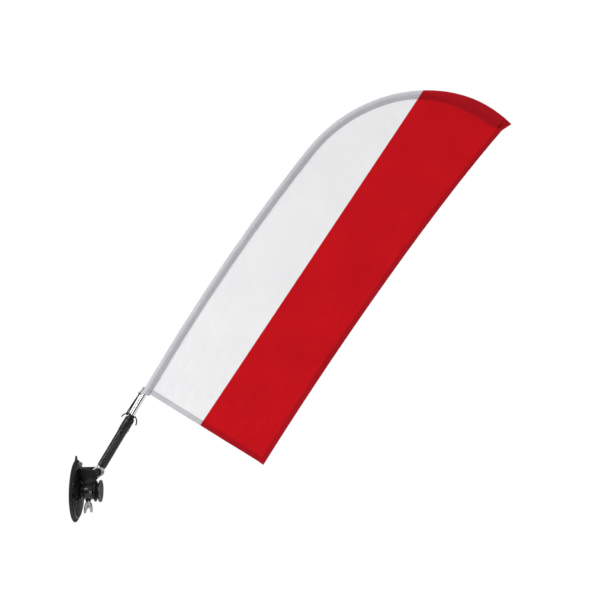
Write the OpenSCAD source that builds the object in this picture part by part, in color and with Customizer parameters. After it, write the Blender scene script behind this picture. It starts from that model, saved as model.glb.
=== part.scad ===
// Feather flag on a bent pole, with a tilting arm and a screw-down suction cup.
// Origin: centre of the cup's sealing face. +X points away from the wall, +Z is up,
// and the flag hangs in the XZ plane. Millimetres.

/* [Suction cup] */
// Radius of the rubber disc
cup_r = 58; // [50:1:66]
// Width of the flat sealing ring at the rim
seal_w = 9; // [7:0.5:11]
// Thickness of the rubber at its rim
rim_t = 2.4; // [2:0.1:3]
// Thickness of the rubber under the housing
rubber_t = 5; // [4:0.2:6]
// Depth of the hollow under the disc
hollow_t = 2.4; // [1.5:0.1:2.8]
// Reach of the release tab past the rim
tab_reach = 8; // [5:0.5:12]
// Width of the release tab
tab_w = 14; // [10:1:20]

/* [Housing] */
// Radius of the domed housing
dome_r = 51; // [46:1:56]
// Wall of the dome
dome_wall = 2.4; // [1.8:0.1:2.8]
// Radius of the neck that the collar turns on
neck_r = 13; // [12:0.5:14.5]
// Distance from the wall to the end of the neck
neck_end = 36; // [34:0.5:42]
// Distance from the centre to the tether eye
eye_z = 50; // [49:0.5:53]
// Outer radius of the tether eye
eye_r = 4; // [3.5:0.5:4.5]

/* [Draw stud and knob] */
// Diameter of the draw stud
stud_d = 8; // [6:1:10]
// Thread pitch of the stud
stud_pitch = 1.25; // [1:0.25:1.5]
// Travel of the stud from loose to tight
stud_travel = 2; // [1:0.25:2]
// Radius of the knob's inner flange
knob_r = 19.8; // [17:0.2:22]
// Length of the knob
knob_len = 12; // [10:0.5:16]
// Number of grip scallops round the knob
knob_grips = 14; // [8:1:18]

/* [Collar and bracket] */
// Outer radius of the swivel collar
collar_r = 15.5; // [15:0.25:18]
// Thickness of the bracket sheet
sheet_t = 2; // [1.5:0.25:2.5]
// Gap between the bracket's cheeks
cheek_gap = 20; // [19:0.5:24]
// Distance of the tilt pivot from the wall
pivot_x = 43; // [41:0.5:48]
// Height of the tilt pivot above the cup's axis
pivot_z = 36; // [35:0.5:40]
// Diameter of the pivot bolt
pivot_d = 6; // [5:1:6]

/* [Arm] */
// Slope of the arm above the horizontal
arm_slope = 59; // [45:1:70]
// Distance from the pivot to the mouth of the arm tube
arm_len = 115; // [105:1:140]
// Outer diameter of the arm tube
tube_d = 17; // [16:0.5:18]
// Wall of the arm tube
tube_wall = 1.5; // [1.2:0.1:1.8]
// Length of the collar round the mouth of the tube
mouth_len = 27; // [22:1:36]
// Diameter of the lock button
button_d = 5; // [4:0.5:6]

/* [Pole] */
// Diameter of the steel lower pole
pole_d = 8; // [7:0.5:9]
// Diameter of the flexible upper rod
rod_d = 5.4; // [4:0.2:5.4]
// Straight length of pole above the arm tube
straight_len = 114; // [80:2:150]
// Radius of the slight bend low on the pole
bend_r_low = 3700; // [3000:100:5000]
// Turn of the slight bend
bend_a_low = 7.5; // [5:0.5:9]
// Radius of the middle bend
bend_r_mid = 285; // [260:5:320]
// Turn of the middle bend
bend_a_mid = 36.5; // [30:0.5:40]
// Radius of the bend at the tip
bend_r_tip = 222; // [200:2:240]
// Turn of the bend at the tip
bend_a_tip = 59; // [52:1:62]
// Radius of the anchor hooks
hook_r = 15.5; // [14:0.5:20]
// Diameter of the hook wire
hook_d = 2.4; // [2:0.2:3]

/* [Flag] */
// Distance from the pivot to the flag's bottom edge
flag_start = 174; // [165:1:200]
// Width of the flag at its bottom edge
flag_w = 257; // [220:1:300]
// Width of the white field at the bottom edge
white_w = 126; // [100:1:150]
// Slope of the colour line against the arm
seam_slope = 3.75; // [2:0.25:5]
// Width of the pole sleeve inside the pole's axis
sleeve_in = 9; // [8:0.5:12]
// Width of the hems
hem_w = 10; // [6:0.5:14]
// How far the fly edge bows in
fly_bow = 10; // [4:1:16]
// Thickness of the cloth
cloth_t = 1.2; // [0.8:0.1:1.6]
// Thickness of a folded hem
hem_t = 2; // [1.6:0.1:2.4]

/* [Hidden] */
$fn = 64;

// Clearances
run_gap = 0.1;     // radial gap of a turning or sliding fit
seat_gap = 0.05;   // gap of a fixed fit
sew_gap = 0.1;     // gap between cloth pieces that are sewn edge to edge
cut = 1;           // overrun of a cutting shape
eps = 0.01;        // overlap of shapes that are joined

// Suction cup and housing
seat_x = rubber_t;                    // face that the housing and the draw plate sit on
plate_r = neck_r + 1;                 // radius of the draw plate
plate_t = 2;                          // thickness of the draw plate
roof_x = seat_x + plate_t + stud_travel + 0.3;
dome_x = roof_x + dome_wall;          // outer face of the dome beside the neck
dome_edge = 1.6;                      // thickness of the dome's edge
neck_bore_r = stud_d / 2 + run_gap;
groove_x = neck_end - 5;              // groove that the retaining screw rides in
groove_w = 4;
groove_t = 1.5;
eye_t = 3;
eye_hole_d = 3.4;
eye_x = seat_x + dome_edge + 2.6;

// Knob
washer_t = 1;
knob_x = neck_end + washer_t + seat_gap;
flange_t = 2.6;                       // inner flange of the knob
waist_r = 0.74 * knob_r;
waist_x = knob_x + 0.48 * knob_len;
face_r = knob_r + 0.8;                // outer flange of the knob
face_x = knob_x + knob_len;
cap_x = face_x - 3;                   // joint of the knob's body and its cap
cap_t = 3;
insert_r = stud_d / 2 + 3;
insert_len = 7;

// Collar and bracket
collar_x = dome_x + 3.6;
collar_end = neck_end - 1;
pad_z = collar_r + 1.5;               // top of the collar's flat pad
web_z = pad_z + sheet_t;
cheek_out = cheek_gap / 2 + sheet_t;
cheek_r = 8;                          // round end of a cheek
cheek_back = dome_x - 2.2;            // rear corner of a cheek, near the dome's edge
screw_d = 4;
screw_spots = [collar_x + 5, collar_end - 5];
retain_r = 1.5;                       // retaining screw
retain_head_r = 2.5;
retain_head_t = 1.2;
friction_r = 10.6;
boss_r = 5.5;                         // boss for the wing screw
boss_z = -(collar_r + 3);
wing_x = (collar_x + collar_end) / 2 - 1;
wing_d = 6;
wing_top = boss_z - 0.3;
wing_turn = 50;

// Pole and the face it stands on
pole_r = pole_d / 2;
rod_r = rod_d / 2;
rest_u = 45;                          // face that the pole stands on
rest_t = 4;
foot_len = 5;
pole_bottom = rest_u + foot_len + 0.2;

// Arm
eye_half = cheek_gap / 2 - 2 - seat_gap;   // half the eye's width, between its washers
arm_eye_r = 10;
tube_start = 12;
tube_r = tube_d / 2;
tube_in = tube_r - tube_wall;
spigot_end = 38;
pin_d = 3;
pin_u = 27;
mouth_start = arm_len - mouth_len;
mouth_r = tube_r + 0.7;
flutes = 10;
flute_d = 1.6;
button_u = mouth_start + 6;
button_r = button_d / 2;
button_out = mouth_r + 1.5;
button_in = pole_r + 1.3;             // leaves the button its travel above the pole
button_lip_t = 0.7;
button_lip = 0.6;
liner_r = tube_in - seat_gap;
liner_start = pole_bottom + 14;
lip_t = 2;                            // lip of the liner over the tube's mouth

// Pole
straight_end = arm_len + straight_len;
bend_r = [bend_r_low, bend_r_mid, bend_r_tip];
bend_a = [bend_a_low, bend_a_mid, bend_a_tip];
pole_in = rod_r + 0.1;                // bore of the steel pole
pole_stop = 2.5;                      // turn at which the steel pole ends
rod_start = 1.9;                      // turn at which the rod starts, inside the steel pole
ferrule_turn = 0.2;
ferrule_r = pole_r + 0.7;
cap_u = arm_len + lip_t + 0.3;        // underside of the hook cap
cap_len = 7;
cap_r = 6.3;
hook_first = 14;                      // angle from the pole at which the hook leaves the cap
hook_u = cap_u + cap_len + 0.24 - hook_r * cos(hook_first); // centre of the hooks' arc
hook_last = 96;
grub_d = 3;

// Sleeve and flag
sleeve_bore = pole_r + 0.9;
sleeve_r = sleeve_bore + 0.8;
edge_t = cloth_t + 0.6;               // thickness of the sleeve's sewn edge
joint_len = 0.6;                      // stretch that joins two sweeps of the sleeve or the pole
joint_grow = 0.04;                    // how far it stands proud of them
thread_t = 0.5;
thread_in = 2;                        // distance of a seam from the edge it holds
edge_w = 3;                           // width of the sleeve's sewn edge
sleeve_start = flag_start - 4;
pocket_turn = 3;                      // turn taken by the closed end of the sleeve
tip_cap_turn = 3.5;
tip_cap_r = rod_r + 0.9;

// Direction turned before arc i, and where arc i starts and is centred, in the arm's plane
function turned(i) = i == 0 ? 0 : turned(i - 1) + bend_a[i - 1];
function outward(a) = [sin(a), cos(a)];
function arc_start(i) = i == 0 ? [straight_end, 0] : arc_centre(i - 1) + bend_r[i - 1] * outward(turned(i));
function arc_centre(i) = arc_start(i) - bend_r[i] * outward(turned(i));
function at_turn(a, out) = arc_centre(2) + (bend_r_tip + out) * outward(a);
last_turn = turned(3);
pocket_start = last_turn - pocket_turn;
rod_end = pocket_start - 1;           // turn at which the rod ends
tip_point = at_turn(last_turn, 0);

// Corners of the flag in the arm's plane
low_corner = [flag_start - 2, -flag_w];
fly_top = tip_point + [-13.5, 8.5];
tip_corner = tip_point + [10, -6];
fly_mid = (low_corner + fly_top) / 2;
fly_chord = norm(fly_top - low_corner);
fly_r = (fly_chord * fly_chord / 4 + fly_bow * fly_bow) / (2 * fly_bow);
fly_dir = (fly_top - low_corner) / fly_chord;
fly_down = [fly_dir[1], -fly_dir[0]];
fly_centre = fly_mid + (fly_r - fly_bow) * fly_down;
far = 2000;                           // past every edge of the flag

// Tension cord: the loop from the tab on the sleeve down under the hook, in the arm's frame
cord_d = 2.2;
cord_sides = 10;
cord_steps = 2;                       // rings between two points of the route
tab_u = flag_start - 8;               // eye of the cord tab
tab_v = sleeve_r + 2.9;
tab_len = 14;
tab_t = 2;
under_v = 9.3;                        // where the cord passes under the hook, and the lowest point of its way
low_u = hook_u + sqrt(hook_r * hook_r - under_v * under_v) - hook_d / 2 - cord_d / 2 - 0.6;
// Each point: share of the way from the hook to the tab, sideways, outwards from the axis
CORD = [
    [1, 0, tab_v], [0.985, -1.9, tab_v], [0.93, -2.8, 8.5], [0.8, -3, 8.4], [0.6, -3, 8.2],
    [0.4, -3, 8], [0.2, -3, 7.8], [0.07, -2.9, 7.6], [0.02, -2.2, 7.9], [0, -0.6, 8.6],
    [0, 1.1, 9.3], [0.02, 2.6, 10], [0.07, 3.2, 10.4], [0.2, 3.3, 10.3], [0.4, 3.3, 10],
    [0.6, 3.2, 9.6], [0.8, 3.1, 9.2], [0.93, 2.8, 8.8], [0.985, 1.9, tab_v]
];

// Lays what is drawn along X on the wall's axis, and what is drawn in XY in the arm's plane
module on_axis() rotate([0, 90, 0]) children();
module at_arm() translate([pivot_x, 0, pivot_z]) rotate([0, -arm_slope, 0]) children();
module in_plane(t) at_arm() rotate([90, 0, 0]) translate([0, 0, -t / 2]) linear_extrude(t) children();

// A turned shape: its profile gives radius and distance from the wall
module turned_shape() on_axis() rotate_extrude() children();

module ring_x(r, hole, from, to) {
    translate([from, 0, 0]) on_axis() difference() {
        cylinder(r = r, h = to - from);
        if (hole > 0) translate([0, 0, -cut]) cylinder(r = hole, h = to - from + 2 * cut);
    }
}

// A bar or tube along the arm's own axis
module bar_u(r, from, to, hole = 0) {
    at_arm() ring_x(r, hole, from, to);
}

// Sweeps a profile along arc i between two turns. The profile's x points away from the centre
module sweep_arc(i, from, to) {
    c = arc_centre(i);
    at_arm() rotate([90, 0, 0]) translate([c[0], c[1], 0]) rotate([0, 0, 90 - to])
        rotate_extrude(angle = to - from, $fn = 720) translate([bend_r[i], 0]) children();
}

// Sweeps a profile straight along the arm's axis
module sweep_straight(from, to) {
    at_arm() translate([from, 0, 0]) rotate([90, 0, 90]) linear_extrude(to - from) rotate(90) children();
}

// A short straight stretch across the start of arc i, which joins the sweeps on its two sides
module sweep_joint(i) {
    p = arc_start(i);
    at_arm() translate([p[0], 0, p[1]]) rotate([0, turned(i), 0]) rotate([90, 0, 90])
        linear_extrude(joint_len, center = true) rotate(90) children();
}

module ring_2d(r, hole, grow = 0) difference() {
    circle(r = r + grow);
    circle(r = hole - grow);
}

// A round bar across the arm or the bracket, along Y
module bar_y(r, from, to) translate([0, from, 0]) rotate([-90, 0, 0]) cylinder(r = r, h = to - from);

// A round bar that points out of the arm's lower side
module bar_down(r, from, to) translate([0, 0, -to]) cylinder(r = r, h = to - from);

module suction_cup() color([0.09, 0.09, 0.09]) {
    turned_shape() polygon([
        [0, hollow_t], [cup_r - seal_w - 4, hollow_t], [cup_r - seal_w, 0], [cup_r, 0],
        [cup_r, rim_t], [cup_r - 3, rim_t + 1], [dome_r + 1, seat_x], [0, seat_x]
    ]);
    difference() {
        union() {
            translate([0, -tab_w / 2, cup_r - 3]) cube([rim_t, tab_w, tab_reach + 3 - tab_w / 4]);
            translate([0, 0, cup_r + tab_reach - tab_w / 2]) on_axis() cylinder(r = tab_w / 2, h = rim_t);
        }
        ring_x(cup_r - 1, 0, -cut, rim_t + cut);
    }
}

module cup_housing() color([0.06, 0.06, 0.06]) turned_shape() polygon([
    [neck_bore_r, roof_x], [plate_r + 0.6, roof_x], [dome_r - 4, seat_x + dome_edge - 1],
    [dome_r - 4, seat_x], [dome_r, seat_x], [dome_r, seat_x + dome_edge],
    [dome_r - 4, seat_x + dome_edge + 1], [plate_r + 6, dome_x - 0.6], [plate_r + 2, dome_x],
    [neck_r, dome_x + 1.6], [neck_r, groove_x - groove_w / 2],
    [neck_r - groove_t, groove_x - groove_w / 2], [neck_r - groove_t, groove_x + groove_w / 2],
    [neck_r, groove_x + groove_w / 2], [neck_r, neck_end], [neck_bore_r, neck_end]
]);

module tether_eye() color([0.5, 0.5, 0.5]) difference() {
    translate([eye_x, 0, eye_z]) union() {
        bar_y(eye_r, -eye_t / 2, eye_t / 2);
        translate([seat_x - eye_x, -eye_t / 2, -eye_r + 1]) cube([eye_x - seat_x, eye_t, 2 * (eye_r - 1)]);
    }
    translate([eye_x, 0, eye_z]) bar_y(eye_hole_d / 2, -eye_t, eye_t);
    turned_shape() polygon([
        [0, 0], [dome_r + 1 + seat_gap, 0], [dome_r + 1 + seat_gap, seat_x], [dome_r + seat_gap, seat_x],
        [dome_r + seat_gap, seat_x + dome_edge], [dome_r - 4, seat_x + dome_edge + 1 + seat_gap],
        [0, seat_x + dome_edge + 1 + seat_gap]
    ]);
}

module thrust_washer() color([0.7, 0.7, 0.72]) ring_x(neck_r - 1, neck_bore_r, neck_end, neck_end + washer_t);

module draw_plate() color([0.6, 0.6, 0.62]) ring_x(plate_r, 0, seat_x, seat_x + plate_t);

module draw_stud() color([0.7, 0.7, 0.72]) ring_x(stud_d / 2, 0, seat_x + plate_t, cap_x - stud_travel - 0.5);

// Takes the grip scallops out of the knob's flanges
module grip_cuts() for (i = [0:knob_grips - 1]) rotate([i * 360 / knob_grips, 0, 0])
    translate([0, 0, knob_r + 2.6]) ring_x(3.4, 0, knob_x - cut, cap_x + cap_t + cut);

module knob_body() color([0.05, 0.05, 0.05]) difference() {
    turned_shape() polygon([
        [neck_bore_r, knob_x], [knob_r, knob_x], [knob_r, knob_x + flange_t], [waist_r, waist_x],
        [knob_r - 0.4, cap_x - 1], [knob_r - 0.4, cap_x], [insert_r, cap_x],
        [insert_r, cap_x - insert_len], [neck_bore_r, cap_x - insert_len]
    ]);
    grip_cuts();
}

module knob_insert() color([0.75, 0.6, 0.3])
    ring_x(insert_r - seat_gap, neck_bore_r, cap_x - insert_len, cap_x);

module knob_cap() color([0.72, 0.72, 0.72]) turned_shape() polygon([
    [0, cap_x], [face_r - 0.6, cap_x], [face_r, cap_x + 0.6], [face_r, cap_x + cap_t - 0.6],
    [face_r - 0.8, cap_x + cap_t], [0, cap_x + cap_t + 0.5]
]);

module swivel_collar() color([0.08, 0.08, 0.08]) difference() {
    union() {
        ring_x(collar_r, 0, collar_x, collar_end);
        translate([collar_x, -cheek_gap / 2, 0]) cube([collar_end - collar_x, cheek_gap, pad_z]);
        translate([wing_x, 0, boss_z]) cylinder(r = boss_r, h = -boss_z);
    }
    ring_x(neck_r + run_gap, 0, collar_x - cut, collar_end + cut);
    translate([wing_x, 0, boss_z - cut]) cylinder(r = wing_d / 2 + run_gap, h = -boss_z);
    for (x = screw_spots) translate([x, 0, neck_r]) cylinder(r = screw_d / 2 + seat_gap, h = collar_r);
    translate([groove_x, 0, 0]) {
        bar_y(retain_r + seat_gap, -collar_r - cut, 0);
        bar_y(retain_head_r + run_gap, -collar_r - cut, -collar_r + retain_head_t);
    }
}

module retaining_screw() color([0.7, 0.7, 0.72]) translate([groove_x, 0, 0]) difference() {
    union() {
        bar_y(retain_r, -collar_r + retain_head_t - eps, -neck_r + groove_t - 0.2);
        bar_y(retain_head_r, -collar_r, -collar_r + retain_head_t);
    }
    translate([0, -collar_r - cut, 0]) bar_y(0.9, 0, cut + 0.7);
}

// Outline of a cheek, in X and Z
module cheek_2d() {
    foot = [collar_end, pad_z];
    pivot = [pivot_x, pivot_z];
    lean = atan2(pivot_z - foot[1], pivot_x - foot[0]) - asin(cheek_r / norm(pivot - foot));
    polygon([
        [collar_x - 1.2, pad_z], [cheek_back, pivot_z + cheek_r - 1], pivot + [0, cheek_r],
        pivot + cheek_r * [sin(lean), -cos(lean)], foot
    ]);
    translate(pivot) circle(r = cheek_r);
}

module tilt_bracket() color([0.1, 0.1, 0.1]) difference() {
    union() {
        for (side = [-1, 1]) translate([0, side * (cheek_out - sheet_t / 2) + sheet_t / 2, 0])
            rotate([90, 0, 0]) linear_extrude(sheet_t) cheek_2d();
        translate([collar_x, -cheek_out, pad_z]) cube([collar_end - collar_x, 2 * cheek_out, sheet_t]);
    }
    translate([pivot_x, 0, pivot_z]) bar_y(pivot_d / 2 + run_gap, -cheek_out - cut, cheek_out + cut);
    for (x = screw_spots) translate([x, 0, pad_z - cut]) cylinder(r = screw_d / 2 + run_gap, h = sheet_t + 2 * cut);
}

module bracket_screws() color([0.6, 0.6, 0.62]) for (x = screw_spots) translate([x, 0, 0]) difference() {
    union() {
        translate([0, 0, neck_r + 0.5]) cylinder(r = screw_d / 2, h = web_z - neck_r);
        translate([0, 0, web_z]) cylinder(r = 3.4, h = 2.2);
    }
    translate([0, 0, web_z + 1]) cylinder(r = 1.5, h = 2, $fn = 6);
}

module friction_washers() color([0.03, 0.03, 0.03]) for (side = [-1, 1])
    translate([pivot_x, side * (cheek_gap / 2 - 1), pivot_z]) difference() {
        bar_y(friction_r, -1, 1);
        bar_y(pivot_d / 2 + run_gap, -2, 2);
    }

module pivot_bolt() color([0.2, 0.2, 0.2]) translate([pivot_x, 0, pivot_z]) difference() {
    union() {
        bar_y(pivot_d / 2, -cheek_out, cheek_out + 8);
        bar_y(5, -cheek_out - 3, -cheek_out);
    }
    translate([0, -cheek_out - 3 - cut, 0]) rotate([-90, 0, 0]) cylinder(r = 2.3, h = cut + 2, $fn = 6);
}

module pivot_washer() color([0.7, 0.7, 0.72]) translate([pivot_x, 0, pivot_z]) difference() {
    bar_y(6, cheek_out, cheek_out + 1.2);
    bar_y(pivot_d / 2 + run_gap, 0, cheek_out + 3);
}

module pivot_nut() color([0.65, 0.65, 0.66]) translate([pivot_x, cheek_out + 1.2, pivot_z]) difference() {
    rotate([-90, 0, 0]) cylinder(r = pivot_d - 0.2, h = 5, $fn = 6);
    bar_y(pivot_d / 2 + seat_gap, -cut, 6);
}

// One wing, in the distance from the screw's axis and the height
module wing_2d() polygon([
    [0, wing_top - 1.5], [4.5, wing_top - 1.5], [8.5, wing_top - 6], [11.5, wing_top - 14],
    [11.5, wing_top - 21], [9.5, wing_top - 23], [7, wing_top - 21], [5, wing_top - 11], [0, wing_top - 7.5]
]);

module wing_screw() color([0.68, 0.68, 0.68]) translate([wing_x, 0, 0]) {
    translate([0, 0, wing_top - 6]) cylinder(r = 4.4, h = 6);
    translate([0, 0, wing_top - eps]) cylinder(r = wing_d / 2, h = -neck_r - 0.3 - wing_top);
    rotate([0, 0, wing_turn]) for (side = [0, 1]) mirror([side, 0, 0])
        translate([0, 1.4, 0]) rotate([90, 0, 0]) linear_extrude(2.8) wing_2d();
}

module arm_eye() color([0.66, 0.66, 0.66]) difference() {
    union() {
        translate([pivot_x, 0, pivot_z]) bar_y(arm_eye_r, -eye_half, eye_half);
        bar_u(eye_half, 0, tube_start);
        bar_u(tube_in - seat_gap, tube_start - eps, spigot_end);
    }
    translate([pivot_x, 0, pivot_z]) bar_y(pivot_d / 2 + run_gap, -cheek_gap, cheek_gap);
    at_arm() translate([pin_u, 0, 0]) bar_y(pin_d / 2 + seat_gap, -tube_d, tube_d);
}

module arm_tube() color([0.07, 0.07, 0.07]) difference() {
    bar_u(tube_r, tube_start, arm_len, tube_in);
    at_arm() {
        translate([pin_u, 0, 0]) bar_y(pin_d / 2 + seat_gap, -tube_d, tube_d);
        translate([button_u, 0, 0]) bar_down(button_r + run_gap, 0, tube_d);
        for (i = [0:flutes - 1]) rotate([(i + 0.5) * 360 / flutes, 0, 0])
            translate([tube_start + 6, 0, tube_r + flute_d / 4])
            on_axis() cylinder(d = flute_d, h = mouth_start - tube_start - 12);
    }
}

module eye_pin() color([0.3, 0.3, 0.3])
    at_arm() translate([pin_u, 0, 0]) bar_y(pin_d / 2, -tube_r + 0.2, tube_r - 0.2);

module mouth_collar() color([0.06, 0.06, 0.06]) difference() {
    bar_u(mouth_r, mouth_start, arm_len, tube_r + seat_gap);
    at_arm() translate([button_u, 0, 0]) bar_down(button_r + run_gap, 0, tube_d);
}

module pole_rest() color([0.85, 0.85, 0.82]) bar_u(tube_in - seat_gap, rest_u - rest_t, rest_u);

module bearing_liner() color([0.12, 0.12, 0.12]) difference() {
    union() {
        bar_u(liner_r, liner_start, arm_len + eps);
        bar_u(tube_r - 0.2, arm_len, arm_len + lip_t);
    }
    bar_u(pole_r + run_gap, liner_start - cut, arm_len + lip_t + cut);
    at_arm() translate([button_u, 0, 0]) bar_down(button_r + button_lip + run_gap, 0, tube_r);
}

module lock_button() color([0.75, 0.75, 0.75]) at_arm() translate([button_u, 0, 0]) {
    bar_down(button_r, button_in, button_out);
    bar_down(button_r + button_lip, button_in, button_in + button_lip_t);
}

module pole_foot() color([0.8, 0.8, 0.78]) {
    bar_u(pole_r, rest_u + 0.1, pole_bottom);
    bar_u(pole_in - seat_gap, pole_bottom - eps, pole_bottom + 12);
}

module lower_pole() color([0.78, 0.79, 0.8]) {
    sweep_straight(pole_bottom, straight_end) ring_2d(pole_r, pole_in);
    sweep_joint(0) ring_2d(pole_r, pole_in, joint_grow);
    sweep_arc(0, 0, pole_stop) ring_2d(pole_r, pole_in);
}

module pole_ferrule() color([0.7, 0.7, 0.72])
    sweep_arc(0, pole_stop - ferrule_turn, pole_stop) ring_2d(ferrule_r, pole_r + seat_gap);

module flex_rod() color([0.85, 0.85, 0.82]) {
    sweep_arc(0, rod_start, turned(1)) circle(r = rod_r);
    sweep_arc(1, turned(1), turned(2)) circle(r = rod_r);
    sweep_arc(2, turned(2), rod_end) circle(r = rod_r);
    for (i = [1:2]) sweep_joint(i) circle(r = rod_r + joint_grow);
}

module tip_cap() color([0.1, 0.1, 0.1]) difference() {
    sweep_arc(2, rod_end - tip_cap_turn, rod_end + 0.6) circle(r = tip_cap_r);
    sweep_arc(2, rod_end - tip_cap_turn - 1, rod_end) circle(r = rod_r + seat_gap);
}

// Both hooks' wire, grown by a gap for the holes that take it
module hook_wire(gap) for (side = [0, 1]) at_arm() translate([hook_u, 0, 0]) mirror([0, 0, side])
    rotate([90, 0, 0]) rotate([0, 0, hook_first]) rotate_extrude(angle = hook_last - hook_first, $fn = 180)
    translate([hook_r, 0]) circle(d = hook_d + 2 * gap);

module hook_cap() color([0.05, 0.05, 0.05]) difference() {
    union() {
        bar_u(cap_r, cap_u, cap_u + cap_len - 1.5);
        bar_u(cap_r - 1.2, cap_u + cap_len - 1.6, cap_u + cap_len);
    }
    bar_u(pole_r + seat_gap, cap_u - cut, cap_u + cap_len + cut);
    hook_wire(seat_gap);
    at_arm() translate([cap_u + 2.4, 0, 0]) bar_y(grub_d / 2 + seat_gap, 0, cap_r + cut);
}

module anchor_hooks() color([0.05, 0.05, 0.05]) difference() {
    hook_wire(0);
    bar_u(pole_r + seat_gap, cap_u - cut, cap_u + cap_len + 4);
}

module cap_grub_screw() color([0.5, 0.5, 0.5])
    at_arm() translate([cap_u + 2.4, 0, 0]) bar_y(grub_d / 2, pole_r + 0.1, cap_r - 0.2);

// Catmull-Rom point of the closed route between points i and i + 1
function pick(list, i) = list[(i + len(list)) % len(list)];
function blend_cord(p, t) = 0.5 * (2 * p[1] + (p[2] - p[0]) * t
    + (2 * p[0] - 5 * p[1] + 4 * p[2] - p[3]) * t * t + (3 * p[1] - p[0] - 3 * p[2] + p[3]) * t * t * t);
function cord_route() = let (way = [for (p = CORD) [low_u + p[0] * (tab_u - low_u), p[1], p[2]]])
    [for (i = [0:len(way) - 1]) for (k = [0:cord_steps - 1])
        blend_cord([for (j = [-1:2]) pick(way, i + j)], k / cord_steps)];

// The closed cord, as rings of points round its route
module tension_cord() {
    route = cord_route();
    n = len(route);
    plane = [0, 0.3, -1];
    rings = [for (i = [0:n - 1]) let (
        along = pick(route, i + 1) - pick(route, i - 1),
        side = cross(along, plane) / norm(cross(along, plane)),
        up = cross(side, along) / norm(cross(side, along))
    ) for (k = [0:cord_sides - 1]) let (a = 360 * k / cord_sides)
        route[i] + cord_d / 2 * (cos(a) * side + sin(a) * up)];
    faces = [for (i = [0:n - 1]) for (k = [0:cord_sides - 1]) let (
        j = (i + 1) % n, m = (k + 1) % cord_sides
    ) [i * cord_sides + k, i * cord_sides + m, j * cord_sides + m, j * cord_sides + k]];
    color([0.04, 0.04, 0.04]) at_arm() polyhedron(points = rings, faces = faces);
}

module cord_tab() color([0.75, 0.75, 0.78]) at_arm() difference() {
    union() {
        translate([tab_u, -tab_t / 2, 0]) cube([tab_len, tab_t, tab_v + 1]);
        translate([tab_u, 0, tab_v]) bar_y(3.2, -tab_t / 2, tab_t / 2);
    }
    translate([tab_u, 0, tab_v]) bar_y(cord_d / 2 + 0.5, -tab_t, tab_t);
    ring_x(sleeve_r + sew_gap, 0, tab_u - 5, tab_u + tab_len + cut);
}

// The sleeve's section: round over the pole, drawn in to a flat sewn edge. x points outwards
module sleeve_2d(hollow, grow = 0) difference() {
    union() {
        circle(r = sleeve_r + grow);
        reach = sleeve_in - edge_w;
        slant = atan2(edge_t / 2, reach) + acos(sleeve_r / norm([reach, edge_t / 2]));
        polygon([
            [-reach, -edge_t / 2], [-sleeve_r * cos(slant), -sleeve_r * sin(slant)],
            [-sleeve_r * cos(slant), sleeve_r * sin(slant)], [-reach, edge_t / 2]
        ]);
        translate([-sleeve_in, -edge_t / 2 - grow]) square([sleeve_in, edge_t + 2 * grow]);
    }
    if (hollow) circle(r = sleeve_bore - grow);
}

// The two sides of the colour line, in the arm's plane
module colour_side(side) {
    foot = [flag_start, -white_w];
    run = [cos(seam_slope), -sin(seam_slope)];
    out = side * [sin(seam_slope), cos(seam_slope)];
    near = foot + sew_gap / 2 * out;
    polygon([near - far * run, near + far * run, near + far * run + far * out, near - far * run + far * out]);
}

module sleeve_white() color([0.82, 0.82, 0.85]) {
    sweep_straight(sleeve_start, straight_end) sleeve_2d(true);
    for (i = [0:1]) sweep_arc(i, turned(i), turned(i + 1)) sleeve_2d(true);
    for (i = [0:2]) sweep_joint(i) sleeve_2d(true, joint_grow);
    intersection() {
        sweep_arc(2, turned(2), pocket_start) sleeve_2d(true);
        in_plane(4 * sleeve_r) colour_side(1);
    }
}

module sleeve_red() color([0.62, 0.04, 0.07]) intersection() {
    sweep_arc(2, turned(2), pocket_start) sleeve_2d(true);
    in_plane(4 * sleeve_r) colour_side(-1);
}

module tip_pocket() color([0.55, 0.04, 0.06]) {
    sweep_arc(2, pocket_start, last_turn) sleeve_2d(false);
    in_plane(edge_t) polygon([
        at_turn(pocket_start, sleeve_r), tip_corner, fly_top, at_turn(pocket_start, -sleeve_in)
    ]);
}

// All that lies inside a line that runs along the pole, in the arm's plane. Each arc's sector
// starts a little early, so that it joins the one before it
module inside_line(in) {
    translate([0, -far]) square([straight_end, far - in]);
    for (i = [0:2]) {
        first = turned(i) - 0.2;
        stop = i == 2 ? turned(i) + 181 : turned(i + 1);
        steps = ceil((stop - first) / 20);
        intersection() {
            translate(arc_centre(i)) circle(r = bend_r[i] - in, $fn = 720);
            polygon([arc_centre(i), for (k = [0:steps])
                arc_centre(i) + 2 * bend_r[i] * outward(first + k / steps * (stop - first))]);
        }
    }
}

// The flag's cloth outside the sleeve and the tip pocket
module flag_2d() difference() {
    inner = at_turn(pocket_start - 0.1, -sleeve_in);
    intersection() {
        inside_line(sleeve_in + sew_gap);
        polygon([
            [flag_start, 0], low_corner + 0.1 * (low_corner - [flag_start, 0]), fly_top + 4 * (fly_top - inner),
            inner, at_turn(pocket_start - 0.1, sleeve_in), [far, far], [straight_end, far]
        ]);
    }
    fly_zone(0);
}

module fly_zone(grow) translate(fly_centre) circle(r = fly_r + grow, $fn = 1440);

module bottom_zone(grow) translate([0, -far]) square([flag_start + hem_w + grow, 2 * far]);

module white_field() color([0.93, 0.93, 0.94]) in_plane(cloth_t) difference() {
    intersection() {
        flag_2d();
        colour_side(1);
    }
    bottom_zone(sew_gap);
}

module red_field() color([0.74, 0.05, 0.09]) in_plane(cloth_t) difference() {
    intersection() {
        flag_2d();
        colour_side(-1);
    }
    bottom_zone(sew_gap);
    fly_zone(hem_w + sew_gap);
}

module bottom_hem_white() color([0.8, 0.8, 0.83]) in_plane(hem_t) intersection() {
    flag_2d();
    colour_side(1);
    bottom_zone(0);
}

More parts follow.
